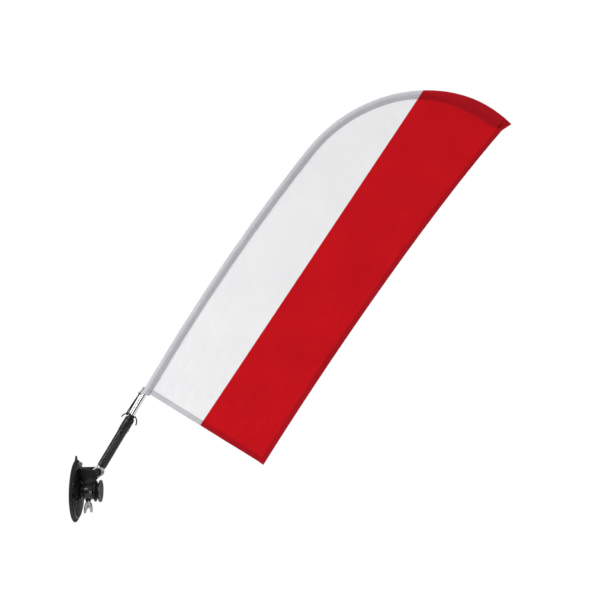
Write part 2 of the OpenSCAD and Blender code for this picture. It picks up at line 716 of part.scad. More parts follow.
module bottom_hem_red() color([0.62, 0.04, 0.07]) in_plane(hem_t) difference() {
    intersection() {
        flag_2d();
        colour_side(-1);
        bottom_zone(0);
    }
    fly_zone(hem_w + sew_gap);
}

module fly_hem() color([0.62, 0.04, 0.07]) in_plane(hem_t) intersection() {
    flag_2d();
    fly_zone(hem_w);
}

// A seam's thread: the same line on both faces of cloth of thickness t
module both_faces(t) for (side = [-1, 1]) at_arm() rotate([90, 0, 0])
    translate([0, 0, side * (t + thread_t) / 2 - thread_t / 2]) linear_extrude(thread_t) children();

module sleeve_thread() color([0.7, 0.7, 0.72]) both_faces(edge_t) intersection() {
    difference() {
        inside_line(sleeve_in - thread_in);
        inside_line(sleeve_in - thread_in + thread_t);
    }
    polygon([
        [sleeve_start + 1, 0], [sleeve_start + 1, -flag_w / 4], arc_centre(2),
        at_turn(pocket_start - 0.5, sleeve_in), [far, far], [straight_end, far]
    ]);
}

// Seams of the hems, in the arm's plane
module hem_seams_2d() {
    intersection() {
        flag_2d();
        translate([flag_start + hem_w - thread_in, -flag_w + hem_w]) square([thread_t, flag_w - hem_w]);
    }
    intersection() {
        flag_2d();
        difference() {
            fly_zone(hem_w - thread_in + thread_t);
            fly_zone(hem_w - thread_in);
            bottom_zone(sew_gap - thread_in);
        }
    }
}

module hem_thread() color([0.7, 0.35, 0.37]) both_faces(hem_t) hem_seams_2d();

suction_cup();
cup_housing();
tether_eye();
thrust_washer();
draw_plate();
draw_stud();
knob_body();
knob_insert();
knob_cap();
swivel_collar();
retaining_screw();
tilt_bracket();
bracket_screws();
friction_washers();
pivot_bolt();
pivot_washer();
pivot_nut();
wing_screw();
arm_eye();
arm_tube();
eye_pin();
mouth_collar();
pole_rest();
bearing_liner();
lock_button();
pole_foot();
lower_pole();
pole_ferrule();
flex_rod();
tip_cap();
hook_cap();
anchor_hooks();
cap_grub_screw();
tension_cord();
cord_tab();
sleeve_white();
sleeve_red();
tip_pocket();
white_field();
red_field();
bottom_hem_white();
bottom_hem_red();
fly_hem();
sleeve_thread();
hem_thread();
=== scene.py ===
# %% [markdown]
# # A small feather flag on a suction-cup mount
#
# The real thing is a printed cloth flag on a bright pole. The pole stands in a black arm, and the
# arm tilts on a cup that a knob pulls tight against glass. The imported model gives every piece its
# place. This notebook builds the outside of each piece again with softer edges, cloth and finishes.

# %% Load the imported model
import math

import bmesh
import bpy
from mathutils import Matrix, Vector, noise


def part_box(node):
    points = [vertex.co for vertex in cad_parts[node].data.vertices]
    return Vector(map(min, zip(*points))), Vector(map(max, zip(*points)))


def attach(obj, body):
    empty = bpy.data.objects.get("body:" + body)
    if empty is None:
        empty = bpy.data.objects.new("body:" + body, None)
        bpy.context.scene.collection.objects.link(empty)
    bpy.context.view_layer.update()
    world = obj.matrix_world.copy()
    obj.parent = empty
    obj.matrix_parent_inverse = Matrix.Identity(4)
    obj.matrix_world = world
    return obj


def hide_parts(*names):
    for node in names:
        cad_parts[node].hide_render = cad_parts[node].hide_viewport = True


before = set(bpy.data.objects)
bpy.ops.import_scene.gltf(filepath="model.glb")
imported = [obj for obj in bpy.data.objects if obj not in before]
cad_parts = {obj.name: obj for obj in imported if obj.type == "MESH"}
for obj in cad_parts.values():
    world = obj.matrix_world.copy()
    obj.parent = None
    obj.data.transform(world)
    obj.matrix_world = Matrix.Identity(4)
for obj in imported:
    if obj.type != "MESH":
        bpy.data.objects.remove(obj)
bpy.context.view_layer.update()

# %% [markdown]
# ## Sizes and places
# Lengths here are in millimetres, as a workshop drawing has them, and two matrices turn them into
# metres. `WALL` keeps X as the distance from the wall. `ARM` starts at the tilt bolt and has X along
# the arm, which is the easy frame for the arm, the pole and the flag.


def middle(node):
    low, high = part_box(node)
    return (low + high) / 2


def sides(node):
    low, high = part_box(node)
    return (high - low) * 1000


SLOPE = math.radians(59)
WALL = Matrix.Scale(0.001, 4)
PIVOT = middle("friction_washers")
ARM = Matrix.Translation(PIVOT) @ Matrix.Rotation(-SLOPE, 4, "Y") @ WALL

# %% [markdown]
# ## The camera
# A portrait lens from two and a half metres, level with the middle of the flag and turned three
# degrees, so that the cup's disc opens into a narrow ellipse. It is set first, because everything
# that follows is judged through it.

# %% Camera
look_at = Vector((0.4194, 0, 0.356))
CAMERA_FAR, LENS = 2.5, 81.12
turn = math.radians(3)
camera = bpy.data.objects.new("camera", bpy.data.cameras.new("camera"))
bpy.context.scene.collection.objects.link(camera)
camera.data.lens, camera.data.sensor_width = LENS, 36
away = Vector((math.sin(turn), -math.cos(turn), 0))
camera.location = look_at + CAMERA_FAR * away
camera.rotation_euler = (-away).to_track_quat("-Z", "Y").to_euler()
camera.data.clip_start, camera.data.clip_end = 0.1, 40
bpy.context.scene.camera = camera
print("camera at", [round(v, 3) for v in camera.location])

# %% [markdown]
# ## Finishes
# Every finish is a Principled shader with three touches of noise read from the piece's own
# coordinates: a broad one that shifts the colour a little, one that breaks up the gloss, and a fine
# one for bump. One recipe with different numbers gives rubber, powder coat, plating and mouldings,
# because that is how those differ in life too.


# %% One recipe for the plain finishes
def link(tree, a, b):
    tree.links.new(a, b)


def start_finish(name):
    m = bpy.data.materials.new(name)
    m.use_nodes = True
    return m, m.node_tree, m.node_tree.nodes["Principled BSDF"]


def add(tree, kind, **values):
    node = tree.nodes.new(kind)
    for key, value in values.items():
        if key in node.inputs:
            node.inputs[key].default_value = value
        else:
            setattr(node, key, value)
    return node


def spread(tree, source, low, high):
    """Maps a noise's middle range on to the range from low to high."""
    node = add(tree, "ShaderNodeMapRange")
    node.inputs["From Min"].default_value, node.inputs["From Max"].default_value = 0.3, 0.7
    node.inputs["To Min"].default_value, node.inputs["To Max"].default_value = low, high
    link(tree, source, node.inputs["Value"])
    return node.outputs["Result"]


def two_tone(tree, factor, first, second):
    node = add(tree, "ShaderNodeMix", data_type="RGBA")
    node.inputs[6].default_value = (*first, 1)
    node.inputs[7].default_value = (*second, 1)
    link(tree, factor, node.inputs[0])
    return node.outputs[2]


def finish(name, colour, other, gloss, metal=0.0, broad=25, fine=900, bump=0.15, deep=0.0002,
           stretch=(1, 1, 1),
           coat=0.0, sheen=0.0, shine=0.5):
    m, tree, shader = start_finish(name)
    place = add(tree, "ShaderNodeTexCoord").outputs["Object"]
    grain = add(tree, "ShaderNodeMapping")
    grain.inputs["Scale"].default_value = stretch
    link(tree, place, grain.inputs["Vector"])
    patches = add(tree, "ShaderNodeTexNoise", Scale=broad, Detail=3.0)
    link(tree, place, patches.inputs["Vector"])
    grit = add(tree, "ShaderNodeTexNoise", Scale=fine, Detail=2.0)
    link(tree, grain.outputs["Vector"], grit.inputs["Vector"])
    link(tree, two_tone(tree, spread(tree, patches.outputs["Fac"], 0, 1), colour, other),
         shader.inputs["Base Color"])
    link(tree, spread(tree, grit.outputs["Fac"], gloss[0], gloss[1]), shader.inputs["Roughness"])
    ripple = add(tree, "ShaderNodeBump", Strength=bump, Distance=deep)
    link(tree, grit.outputs["Fac"], ripple.inputs["Height"])
    link(tree, ripple.outputs["Normal"], shader.inputs["Normal"])
    shader.inputs["Metallic"].default_value = metal
    shader.inputs["Coat Weight"].default_value = coat
    shader.inputs["Coat Roughness"].default_value = 0.08
    shader.inputs["Sheen Weight"].default_value = sheen
    shader.inputs["Specular IOR Level"].default_value = shine
    return m


cup_rubber = finish("cup_rubber", (0.006, 0.006, 0.006), (0.013, 0.013, 0.013), (0.38, 0.52), fine=700,
                    shine=0.3)
dome_gloss = finish("dome_gloss", (0.004, 0.0035, 0.003), (0.006, 0.005, 0.005), (0.12, 0.2), fine=260,
                    bump=0.04, shine=0.35)
satin_black = finish("satin_black", (0.005, 0.005, 0.005), (0.009, 0.009, 0.009), (0.3, 0.42), fine=1400,
                     bump=0.12, shine=0.3)
powder_coat = finish("powder_coat", (0.006, 0.006, 0.006), (0.01, 0.01, 0.01), (0.22, 0.28), fine=1100,
                     bump=0.04, shine=0.38)
# The ribs' grey is lighter than the disc's rubber: it is painted highlight along the ribs.
ribs_painted_highlight = finish("ribs_painted_highlight", (0.035, 0.035, 0.035), (0.055, 0.055, 0.055), (0.65, 0.8), fine=700,
                    shine=0.15)
zinc_plate = finish("zinc_plate", (0.62, 0.62, 0.62), (0.5, 0.5, 0.49), (0.24, 0.4), 1.0, broad=90, fine=1300)
dull_zinc = finish("dull_zinc", (0.3, 0.3, 0.3), (0.22, 0.22, 0.22), (0.4, 0.5), 1.0, broad=90)
cast_alloy = finish("cast_alloy", (0.56, 0.56, 0.56), (0.44, 0.44, 0.44), (0.34, 0.5), 1.0, broad=120,
                    fine=800, bump=0.4)
black_oxide = finish("black_oxide", (0.05, 0.05, 0.05), (0.035, 0.035, 0.035), (0.3, 0.45), 0.9, broad=90)
turned_brass = finish("turned_brass", (0.72, 0.5, 0.2), (0.6, 0.42, 0.18), (0.2, 0.35), 1.0,
                      stretch=(6, 1, 1))
face_metal = finish("face_metal", (0.2, 0.2, 0.2), (0.14, 0.14, 0.14), (0.44, 0.47), 1.0, broad=60,
                    fine=1600, bump=0.02)
bright_chrome = finish("bright_chrome", (0.78, 0.79, 0.8), (0.7, 0.71, 0.73), (0.09, 0.1), 1.0, fine=500,
                       bump=0.0)
natural_nylon = finish("natural_nylon", (0.72, 0.71, 0.66), (0.66, 0.65, 0.6), (0.4, 0.55))
glass_fibre = finish("glass_fibre", (0.66, 0.65, 0.58), (0.58, 0.57, 0.5), (0.35, 0.5), stretch=(1, 1, 0.05))
print("plain finishes:", len(bpy.data.materials))

# %% [markdown]
# ### Cloth
# A flag like this is a light knitted polyester, printed on one side so that the ink soaks through.
# Close up it is rows of tiny loops. Two crossed waves of half a millimetre give the loops, turned to
# run with the flag, and darken the ink a little between the loops as painted shade. A soft sheen
# stands for the fibres. The hems and the sleeve are the same cloth doubled, so they get the same
# weave in a greyer or deeper colour, and that greyer or deeper colour is painted shade.


# %% Knitted cloth, webbing and thread
def cloth_finish(name, colour, other, pitch=0.0007, rough=0.72, strength=0.35, sheen=0.02):
    m, tree, shader = start_finish(name)
    place = add(tree, "ShaderNodeTexCoord").outputs["Object"]
    turned = add(tree, "ShaderNodeMapping")
    turned.inputs["Rotation"].default_value = (0, SLOPE, 0)
    link(tree, place, turned.inputs["Vector"])
    bands = []
    for direction in ("X", "Z"):
        wave = add(tree, "ShaderNodeTexWave", Scale=2 * math.pi / 20 / pitch, Distortion=1.2, Detail=1.0)
        wave.bands_direction = direction
        link(tree, turned.outputs["Vector"], wave.inputs["Vector"])
        bands.append(wave.outputs["Fac"])
    loops = add(tree, "ShaderNodeMath", operation="MULTIPLY")
    for socket, band in zip(loops.inputs, bands):
        link(tree, band, socket)
    patches = add(tree, "ShaderNodeTexNoise", Scale=14.0, Detail=4.0)
    link(tree, place, patches.inputs["Vector"])
    ink = two_tone(tree, spread(tree, patches.outputs["Fac"], 0, 1), colour, other)
    # The loops darken the ink a little between them: painted shade in the hollows of the knit.
    shade = add(tree, "ShaderNodeMix", data_type="RGBA", blend_type="MULTIPLY")
    shade.inputs[0].default_value = 0.14
    link(tree, ink, shade.inputs[6])
    link(tree, loops.outputs[0], shade.inputs[7])
    link(tree, shade.outputs[2], shader.inputs["Base Color"])
    bump = add(tree, "ShaderNodeBump", Strength=strength, Distance=0.0002)
    link(tree, loops.outputs[0], bump.inputs["Height"])
    link(tree, bump.outputs["Normal"], shader.inputs["Normal"])
    shader.inputs["Roughness"].default_value = rough
    shader.inputs["Sheen Weight"].default_value = sheen
    shader.inputs["Sheen Roughness"].default_value = 0.4
    shader.inputs["Specular IOR Level"].default_value = 0.08
    return m


white_print = cloth_finish("white_print", (0.86, 0.86, 0.87), (0.82, 0.82, 0.835))
red_print = cloth_finish("red_print", (0.56, 0.003, 0.008), (0.5, 0.002, 0.007))
# The doubled cloth is the same cloth as the panel: its greyer white and deeper red are painted shade.
white_double_painted_shade = cloth_finish("white_double_painted_shade", (0.57, 0.57, 0.605), (0.52, 0.52, 0.555), strength=0.5)
red_double_painted_shade = cloth_finish("red_double_painted_shade", (0.41, 0.004, 0.01), (0.36, 0.003, 0.009), strength=0.5)
grey_tape = cloth_finish("grey_tape", (0.42, 0.42, 0.45), (0.36, 0.36, 0.39), pitch=0.0005, strength=0.8)
pale_thread = cloth_finish("pale_thread", (0.5, 0.5, 0.54), (0.42, 0.42, 0.46), pitch=0.0003, rough=0.5)
red_thread = cloth_finish("red_thread", (0.24, 0.004, 0.01), (0.2, 0.003, 0.008), pitch=0.0003, rough=0.5)
print("finishes:", len(bpy.data.materials))

# %% [markdown]
# ### The cord's braid
# The tension cord is rubber in a braided cover. The braid has to follow the cord as it bends, so it
# reads the cord's own UV map: U goes round and V along. Two sets of slanted bands cross to make the
# plaited diamonds, and the grooves between the strands get a slightly darker colour than the crowns,
# which is painted shade.


# %% Braided cover
def braid_finish(name, colour, other):
    m, tree, shader = start_finish(name)
    way = add(tree, "ShaderNodeTexCoord").outputs["UV"]
    split = add(tree, "ShaderNodeSeparateXYZ")
    link(tree, way, split.inputs[0])
    strands = []
    for lean in (1, -1):
        mixed = add(tree, "ShaderNodeMath", operation="MULTIPLY_ADD")
        mixed.inputs[1].default_value = 6 * lean
        link(tree, split.outputs["X"], mixed.inputs[0])
        link(tree, split.outputs["Y"], mixed.inputs[2])
        turned = add(tree, "ShaderNodeMath", operation="MULTIPLY")
        turned.inputs[1].default_value = 2 * math.pi
        link(tree, mixed.outputs[0], turned.inputs[0])
        wave = add(tree, "ShaderNodeMath", operation="SINE")
        link(tree, turned.outputs[0], wave.inputs[0])
        strands.append(wave.outputs[0])
    plait = add(tree, "ShaderNodeMath", operation="MAXIMUM")
    for socket, strand in zip(plait.inputs, strands):
        link(tree, strand, socket)
    ramp = add(tree, "ShaderNodeMapRange")
    ramp.inputs["From Min"].default_value = -1.0
    link(tree, plait.outputs[0], ramp.inputs["Value"])
    # Darker colour in the grooves and lighter on the crowns: painted shade of the plait.
    link(tree, two_tone(tree, ramp.outputs["Result"], colour, other), shader.inputs["Base Color"])
    bump = add(tree, "ShaderNodeBump", Strength=0.6, Distance=0.0002)
    link(tree, ramp.outputs["Result"], bump.inputs["Height"])
    link(tree, bump.outputs["Normal"], shader.inputs["Normal"])
    shader.inputs["Roughness"].default_value = 0.85
    shader.inputs["Specular IOR Level"].default_value = 0.03
    return m


black_braid = braid_finish("black_braid", (0.002, 0.002, 0.002), (0.007, 0.007, 0.008))

# %% [markdown]
# ## Making shapes
# Most of the mount is turned, so most pieces start as a profile that is spun round the wall's axis.
# The rest are outlines that get a thickness. Real edges are never razor sharp and catch a thin
# highlight, so each sharp edge is bevelled before the piece is finished.


# %% Turning, plates and bevels
def turned_shape(profile, steps=96, closed=False):
    """Spins a profile of (radius, distance along X) points round X."""
    bm = bmesh.new()
    points = [bm.verts.new((x, 0, r)) for r, x in profile]
    pairs = list(zip(points, points[1:])) + ([(points[-1], points[0])] if closed else [])
    edges = [bm.edges.new(pair) for pair in pairs]
    bmesh.ops.spin(bm, geom=points + edges, cent=(0, 0, 0), axis=(1, 0, 0), angle=2 * math.pi, steps=steps,
                   use_merge=True)
    bmesh.ops.remove_doubles(bm, verts=bm.verts, dist=1e-4)
    bmesh.ops.recalc_face_normals(bm, faces=bm.faces)
    return bm


def plate(outline, thickness):
    """An outline of (x, z) points, made into a plate that is centred on Y."""
    bm = bmesh.new()
    face = bm.faces.new([bm.verts.new((x, -thickness / 2, z)) for x, z in outline])
    out = bmesh.ops.extrude_face_region(bm, geom=[face])
    moved = [g for g in out["geom"] if isinstance(g, bmesh.types.BMVert)]
    bmesh.ops.translate(bm, verts=moved, vec=(0, thickness, 0))
    bmesh.ops.recalc_face_normals(bm, faces=bm.faces)
    return bm


def block(low, high):
    bm = bmesh.new()
    bmesh.ops.create_cube(bm, size=1)
    low, high = Vector(low), Vector(high)
    bmesh.ops.scale(bm, verts=bm.verts, vec=high - low)
    bmesh.ops.translate(bm, verts=bm.verts, vec=(low + high) / 2)
    return bm


def soften(bm, width, segments=2, sharper_than=30):
    """Bevels every edge whose faces meet at more than a given angle."""
    limit = math.radians(sharper_than)
    sharp = [e for e in bm.edges if len(e.link_faces) == 2 and e.calc_face_angle(0) > limit]
    bmesh.ops.bevel(bm, geom=sharp, offset=width, offset_type="OFFSET", segments=segments, profile=0.5,
                    affect="EDGES", clamp_overlap=True, material=-1)
    return bm


def joined(*parts):
    """One mesh from several closed shapes."""
    whole = bmesh.new()
    for part in parts:
        mesh = bpy.data.meshes.new("part")
        part.to_mesh(mesh)
        whole.from_mesh(mesh)
        part.free()
        bpy.data.meshes.remove(mesh)
    return whole


def piece(bm, name, body, finishes, place=WALL, nodes=(), smooth=38):
    """Puts a finished mesh in the scene, at its place, riding on its body."""
    bm.transform(place)
    mesh = bpy.data.meshes.new(name)
    bm.to_mesh(mesh)
    bm.free()
    for m in finishes if isinstance(finishes, (list, tuple)) else [finishes]:
        mesh.materials.append(m)
    mesh.polygons.foreach_set("use_smooth", [True] * len(mesh.polygons))
    mesh.set_sharp_from_angle(angle=math.radians(smooth))
    obj = bpy.data.objects.new(name, mesh)
    bpy.context.scene.collection.objects.link(obj)
    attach(obj, body)
    if nodes:
        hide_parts(*nodes)
    print(name, len(mesh.polygons), "faces")
    return obj


def across(x, z):
    """Turns what was spun round X to lie along Y, through a point (x, z)."""
    return Matrix.Translation((x, 0, z)) @ Matrix.Rotation(math.pi / 2, 4, "Z")


def upright(x):
    """Turns what was spun round X to stand along Z."""
    return Matrix.Translation((x, 0, 0)) @ Matrix.Rotation(-math.pi / 2, 4, "Y")

# %% [markdown]
# ## The suction cup
# A disc of soft black rubber with a thin sealing lip, low ribs round its back that let the rim flex,
# and a tongue to peel it off by. The disc is one spin. The ribs are one small wedge, copied round,
# and their lighter grey is painted highlight.

# %% Rubber disc, ribs and tongue
cup_r = sides("suction_cup").y / 2
disc = turned_shape([(0, 2.4), (cup_r - 13, 2.4), (cup_r - 9, 0), (cup_r - 0.5, 0), (cup_r, 0.5),
                     (cup_r, 1.9),
                     (cup_r - 0.5, 2.5), (cup_r - 2.2, 2.7), (cup_r - 3, 3.1), (cup_r - 5.8, 4.8),
                     (cup_r - 7, 5), (0, 5)], 144)
soften(disc, 0.25, sharper_than=40)
ribs = bmesh.new()
for k in range(72):
    rib = soften(plate([(2.2, cup_r - 1), (2.9, cup_r - 0.7), (3.7, cup_r - 3.2), (5.2, cup_r - 5.7),
                        (4, cup_r - 6.4)], 1.1), 0.2, 1)
    rib.transform(Matrix.Rotation(math.radians(5 * k), 4, "X"))
    ribs = joined(ribs, rib)
# The ribs take the second finish, whose lighter grey is painted highlight.
for f in ribs.faces:
    f.material_index = 1
reach = sides("suction_cup").z - 2 * cup_r
tongue_side = [(7 * (1 - t ** 2.4) ** 0.55, cup_r - 3 + t * (reach + 2.8))
               for t in [k / 12 for k in range(13)]]
tongue = plate([(-y, z) for y, z in tongue_side[:-1]] + [(0, tongue_side[-1][1])]
               + [(y, z) for y, z in reversed(tongue_side[:-1])], 2.2)
soften(tongue, 0.5)
grips = joined(*[soften(block((-4 + k, -1.5, cup_r + 0.6 + 1.8 * k), (4 - k, 1.5, cup_r + 1.3 + 1.8 * k)),
                        0.25, 1) for k in range(3)])
tongue = joined(tongue, grips)
tongue.transform(Matrix.Translation((1.25, 0, 0)) @ Matrix.Rotation(math.pi / 2, 4, "Z"))
piece(joined(disc, ribs, tongue), "cup_disc", "base", [cup_rubber, ribs_painted_highlight], nodes=["suction_cup"])

# %% [markdown]
# ## The housing
# A hard glossy dome that spreads the pull over the rubber, with a neck for the collar to turn on.
# Its gloss is what shows the shape, so the crown is a gentle curve with no facets in it.

# %% Dome with its neck
dome_r = sides("cup_housing").y / 2
neck_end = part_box("cup_housing")[1].x * 1000
dome = turned_shape([(dome_r - 4, 5), (dome_r - 0.3, 5), (dome_r, 5.3), (dome_r, 6.1), (dome_r - 0.4, 6.6),
                     (dome_r - 1.6, 7.1),
                     (dome_r - 4, 7.9), (dome_r - 8, 8.75), (dome_r - 13, 9.6), (dome_r - 19, 10.4),
                     (dome_r - 25, 11),
                     (dome_r - 31, 11.5), (15.5, 12), (14, 12.5), (13.2, 13.3), (13, 14.4), (13, 29),
                     (11.5, 29), (11.5, 33),
                     (13, 33), (13, neck_end - 0.4), (12.6, neck_end), (4.2, neck_end), (4.2, 10.2),
                     (14, 9.4), (46, 6)], 160, closed=True)
piece(dome, "cup_dome", "base", dome_gloss, nodes=["cup_housing"], smooth=50)

# %% [markdown]
# ### Tether ear
# A small metal ear at the top of the dome takes a safety cord. It is a ring between two loops of
# points, bridged and given its thickness.


# %% Ring-shaped plates and the ear
def ring_plate(centre, outer, inner, thickness, steps=40):
    bm = bmesh.new()
    loops = []
    for radius in (outer, inner):
        ring = bmesh.ops.create_circle(bm, segments=steps, radius=radius)["verts"]
        bmesh.ops.rotate(bm, verts=ring, cent=(0, 0, 0), matrix=Matrix.Rotation(math.pi / 2, 3, "X"))
        bmesh.ops.translate(bm, verts=ring, vec=(centre[0], 0, centre[1]))
        loops += list({e for v in ring for e in v.link_edges})
    bmesh.ops.bridge_loops(bm, edges=loops)
    bmesh.ops.translate(bm, verts=bm.verts, vec=(0, -thickness / 2, 0))
    out = bmesh.ops.extrude_face_region(bm, geom=list(bm.faces))
    bmesh.ops.translate(bm, verts=[g for g in out["geom"] if isinstance(g, bmesh.types.BMVert)],
                        vec=(0, thickness, 0))
    bmesh.ops.recalc_face_normals(bm, faces=bm.faces)
    return bm


ear_low, ear_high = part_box("tether_eye")
ear_at = (ear_high.x * 1000 - 4, (ear_low.z + ear_high.z) * 500)
ear = soften(ring_plate(ear_at, 4, 1.7, 3), 0.5)
stem = soften(block((5.2, -1.5, ear_at[1] - 3), (ear_at[0] - 1.8, 1.5, ear_at[1] + 2.6)), 0.4)
piece(joined(ear, stem), "tether_ear", "base", dull_zinc, nodes=["tether_eye"])

# %% [markdown]
# ## The knob
# A spool that fits between finger and thumb: two flanges with a narrow waist, shallow grip scallops,
# and a metal face. It is spun first. Then every rim vertex that lies inside a scallop's circle is
# moved in to that circle, which is how a milling cutter would make them.

# %% Spool and face
knob_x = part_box("knob_body")[0].x * 1000
knob_r = sides("knob_body").y / 2
SCALLOPS, SCALLOP_R, SCALLOP_OUT = 14, 3.4, 2.6
spool = turned_shape([(4.2, knob_x), (knob_r - 0.5, knob_x), (knob_r, knob_x + 0.5), (knob_r, knob_x + 2.1),
                      (knob_r - 0.5, knob_x + 2.6),
                      (knob_r - 3, knob_x + 3.5), (knob_r - 4.6, knob_x + 4.7),
                      (knob_r - 5.1, knob_x + 5.8), (knob_r - 4.6, knob_x + 6.8),
                      (knob_r - 2.8, knob_x + 7.6), (knob_r - 0.7, knob_x + 8.1),
                      (knob_r - 0.4, knob_x + 8.5), (knob_r - 0.4, knob_x + 9),
                      (7, knob_x + 9), (7, knob_x + 2), (4.2, knob_x + 2)], SCALLOPS * 16, closed=True)
for v in spool.verts:
    r = math.hypot(v.co.y, v.co.z)
    if r > 14:
        step = 2 * math.pi / SCALLOPS
        a = (math.atan2(v.co.y, v.co.z) + step / 2) % step - step / 2
        inside = SCALLOP_R ** 2 - ((knob_r + SCALLOP_OUT) * math.sin(a)) ** 2
        if inside > 0:
            share = min(r, (knob_r + SCALLOP_OUT) * math.cos(a) - math.sqrt(inside)) / r
            v.co.y, v.co.z = v.co.y * share, v.co.z * share
piece(spool, "knob_spool", "knob", satin_black, nodes=["knob_body"])
cap_low, cap_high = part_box("knob_cap")
cap_x, cap_end, face_r = cap_low.x * 1000, cap_high.x * 1000, sides("knob_cap").y / 2
face = turned_shape([(0, cap_x), (face_r - 0.5, cap_x), (face_r, cap_x + 0.5), (face_r, cap_end - 1.3),
                     (face_r, cap_end - 1.1), (face_r - 0.4, cap_end - 0.6),
                     (face_r - 1.2, cap_end - 0.4), (face_r - 2.6, cap_end - 0.4),
                     (face_r - 3, cap_end - 0.8), (face_r - 3.6, cap_end - 0.8),
                     (face_r - 4, cap_end - 0.35), (3.4, cap_end), (3, cap_end - 0.5), (0, cap_end - 0.5)],
                    128)
for f in face.faces:
    f.material_index = 1 if f.calc_center_median().x < cap_end - 1.3 else 0
piece(face, "knob_face", "knob", [face_metal, satin_black], nodes=["knob_cap"])

# %% [markdown]
# ## The collar
# A cast ring that turns on the neck. It has a flat pad on top for the bracket and a boss underneath
# for the wing screw. Three closed shapes overlap inside one mesh, as a casting's parts run together.

# %% Ring, pad and boss
collar_low, collar_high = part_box("swivel_collar")
ring_from, ring_to = collar_low.x * 1000, collar_high.x * 1000
wing_x = middle("wing_screw").x * 1000
boss_z, pad_z = collar_low.z * 1000, collar_high.z * 1000
ring = soften(turned_shape([(13.1, ring_from), (15.5, ring_from), (15.5, ring_to), (13.1, ring_to)], 112,
                           closed=True), 0.5)
pad = plate([(-10, pad_z), (-10, 10.2), (-6, 12.7), (0, 14), (6, 12.7), (10, 10.2), (10, pad_z)],
            ring_to - ring_from)
soften(pad, 0.7)
pad.transform(Matrix.Translation(((ring_from + ring_to) / 2, 0, 0)) @ Matrix.Rotation(math.pi / 2, 4, "Z"))
boss = soften(turned_shape([(3.1, boss_z), (5.5, boss_z), (5.5, -13.6), (3.1, -13.6)], 48, closed=True), 0.5)
boss.transform(upright(wing_x))
piece(joined(ring, pad, boss), "collar_casting", "bracket", powder_coat, nodes=["swivel_collar"])

# %% [markdown]
# ## The bracket
# One strip of sheet, bent into a U, with its two cheeks cut to a round end. It is made the same way:
# a strip folded round a U is drawn along X, planes cut away what lies outside the cheek's outline,
# the near cheek's slanted top is cut lower, and the sheet gets its thickness last, so that the bends
# have a true inside radius.

# %% Folded sheet
bracket_low, bracket_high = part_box("tilt_bracket")
half = sides("tilt_bracket").y / 2
foot_z, rear_x, tip_x = bracket_low.z * 1000, bracket_low.x * 1000, bracket_high.x * 1000
pin_x, pin_z = PIVOT.x * 1000, PIVOT.z * 1000
corner = [(-half + 3 - 3 * math.cos(a), foot_z + 3 - 3 * math.sin(a))
          for a in [math.radians(15 * k) for k in range(7)]]
fold = [(-half, pin_z + 10)] + corner + [(-y, z) for y, z in reversed(corner)] + [(half, pin_z + 10)]
sheet = bmesh.new()
strip = [sheet.verts.new((rear_x - 2, y, z)) for y, z in fold]
line = [sheet.edges.new(pair) for pair in zip(strip, strip[1:])]
out = bmesh.ops.extrude_edge_only(sheet, edges=line)
bmesh.ops.translate(sheet, verts=[g for g in out["geom"] if isinstance(g, bmesh.types.BMVert)],
                    vec=(tip_x - rear_x + 4, 0, 0))
round_end = [(pin_x + 8 * math.sin(a), pin_z + 8 * math.cos(a))
             for a in [math.radians(10 * k) for k in range(14)]]
cheek = [(ring_from - 1.2, foot_z), (rear_x, pin_z + 5), (rear_x + 0.4, pin_z + 6.6),
         (rear_x + 2, pin_z + 7.2)] + round_end + [(ring_to, foot_z)]
for (x0, z0), (x1, z1) in zip(cheek, cheek[1:]):
    bmesh.ops.bisect_plane(sheet, geom=list(sheet.verts) + list(sheet.edges) + list(sheet.faces), dist=1e-4,
                           plane_co=(x0, 0, z0), plane_no=(z0 - z1, 0, x1 - x0), clear_outer=True)
near_cheek = [(rear_x - 2, pin_z + 11), (rear_x + 17, pin_z + 7.4), (pin_x + 0.5, pin_z + 2.8),
              (pin_x + 4.6, pin_z - 0.5), (pin_x + 3.6, pin_z - 4), (ring_to, foot_z)]
for (x0, z0), (x1, z1) in zip(near_cheek, near_cheek[1:]):
    near = [f for f in sheet.faces if f.calc_center_median().y < 1 - half]
    near_geom = near + list({e for f in near for e in f.edges}) + list({v for f in near for v in f.verts})
    bmesh.ops.bisect_plane(sheet, geom=near_geom, dist=1e-4, plane_co=(x0, 0, z0),
                           plane_no=(z0 - z1, 0, x1 - x0), clear_outer=True)
bmesh.ops.recalc_face_normals(sheet, faces=sheet.faces)
bmesh.ops.solidify(sheet, geom=list(sheet.faces), thickness=2)
wide = max(abs(v.co.y) for v in sheet.verts)
print("bracket half width", round(wide, 2), "should be", round(half, 2))
soften(sheet, 0.35, sharper_than=50)
piece(sheet, "bracket_sheet", "bracket", powder_coat, nodes=["tilt_bracket"], smooth=45)

# %% [markdown]
# ### Pivot fasteners
# A socket-head bolt passes through both cheeks, with a washer and a nut on the far side. The nut is
# a six-sided turning whose corners are rounded by a bevel.

# %% Bolt, washer and nut
bolt = soften(turned_shape([(0, -half - 1.2), (2.2, -half - 1.2), (2.2, -half - 3), (5, -half - 3),
                            (5, -half), (3, -half), (3, half + 8), (0, half + 8)], 64), 0.35)
bolt.transform(across(pin_x, pin_z))
piece(bolt, "pivot_bolt_head", "bracket", black_oxide, nodes=["pivot_bolt"])
washer = soften(turned_shape([(3.1, half), (6, half), (6, half + 1.2), (3.1, half + 1.2)], 64, closed=True),
                0.2)
washer.transform(across(pin_x, pin_z))
piece(washer, "pivot_washer_disc", "bracket", zinc_plate, nodes=["pivot_washer"])
nut = soften(turned_shape([(3.1, half + 1.2), (5.8, half + 1.2), (5.8, half + 6.2), (3.1, half + 6.2)], 6,
                          closed=True), 0.5)
nut.transform(across(pin_x, pin_z))
piece(nut, "pivot_nut_hex", "bracket", zinc_plate, nodes=["pivot_nut"], smooth=30)
discs = joined(*[ring_plate((pin_x, pin_z), 7.6, 3.1, 1.9, 64) for _ in range(2)])
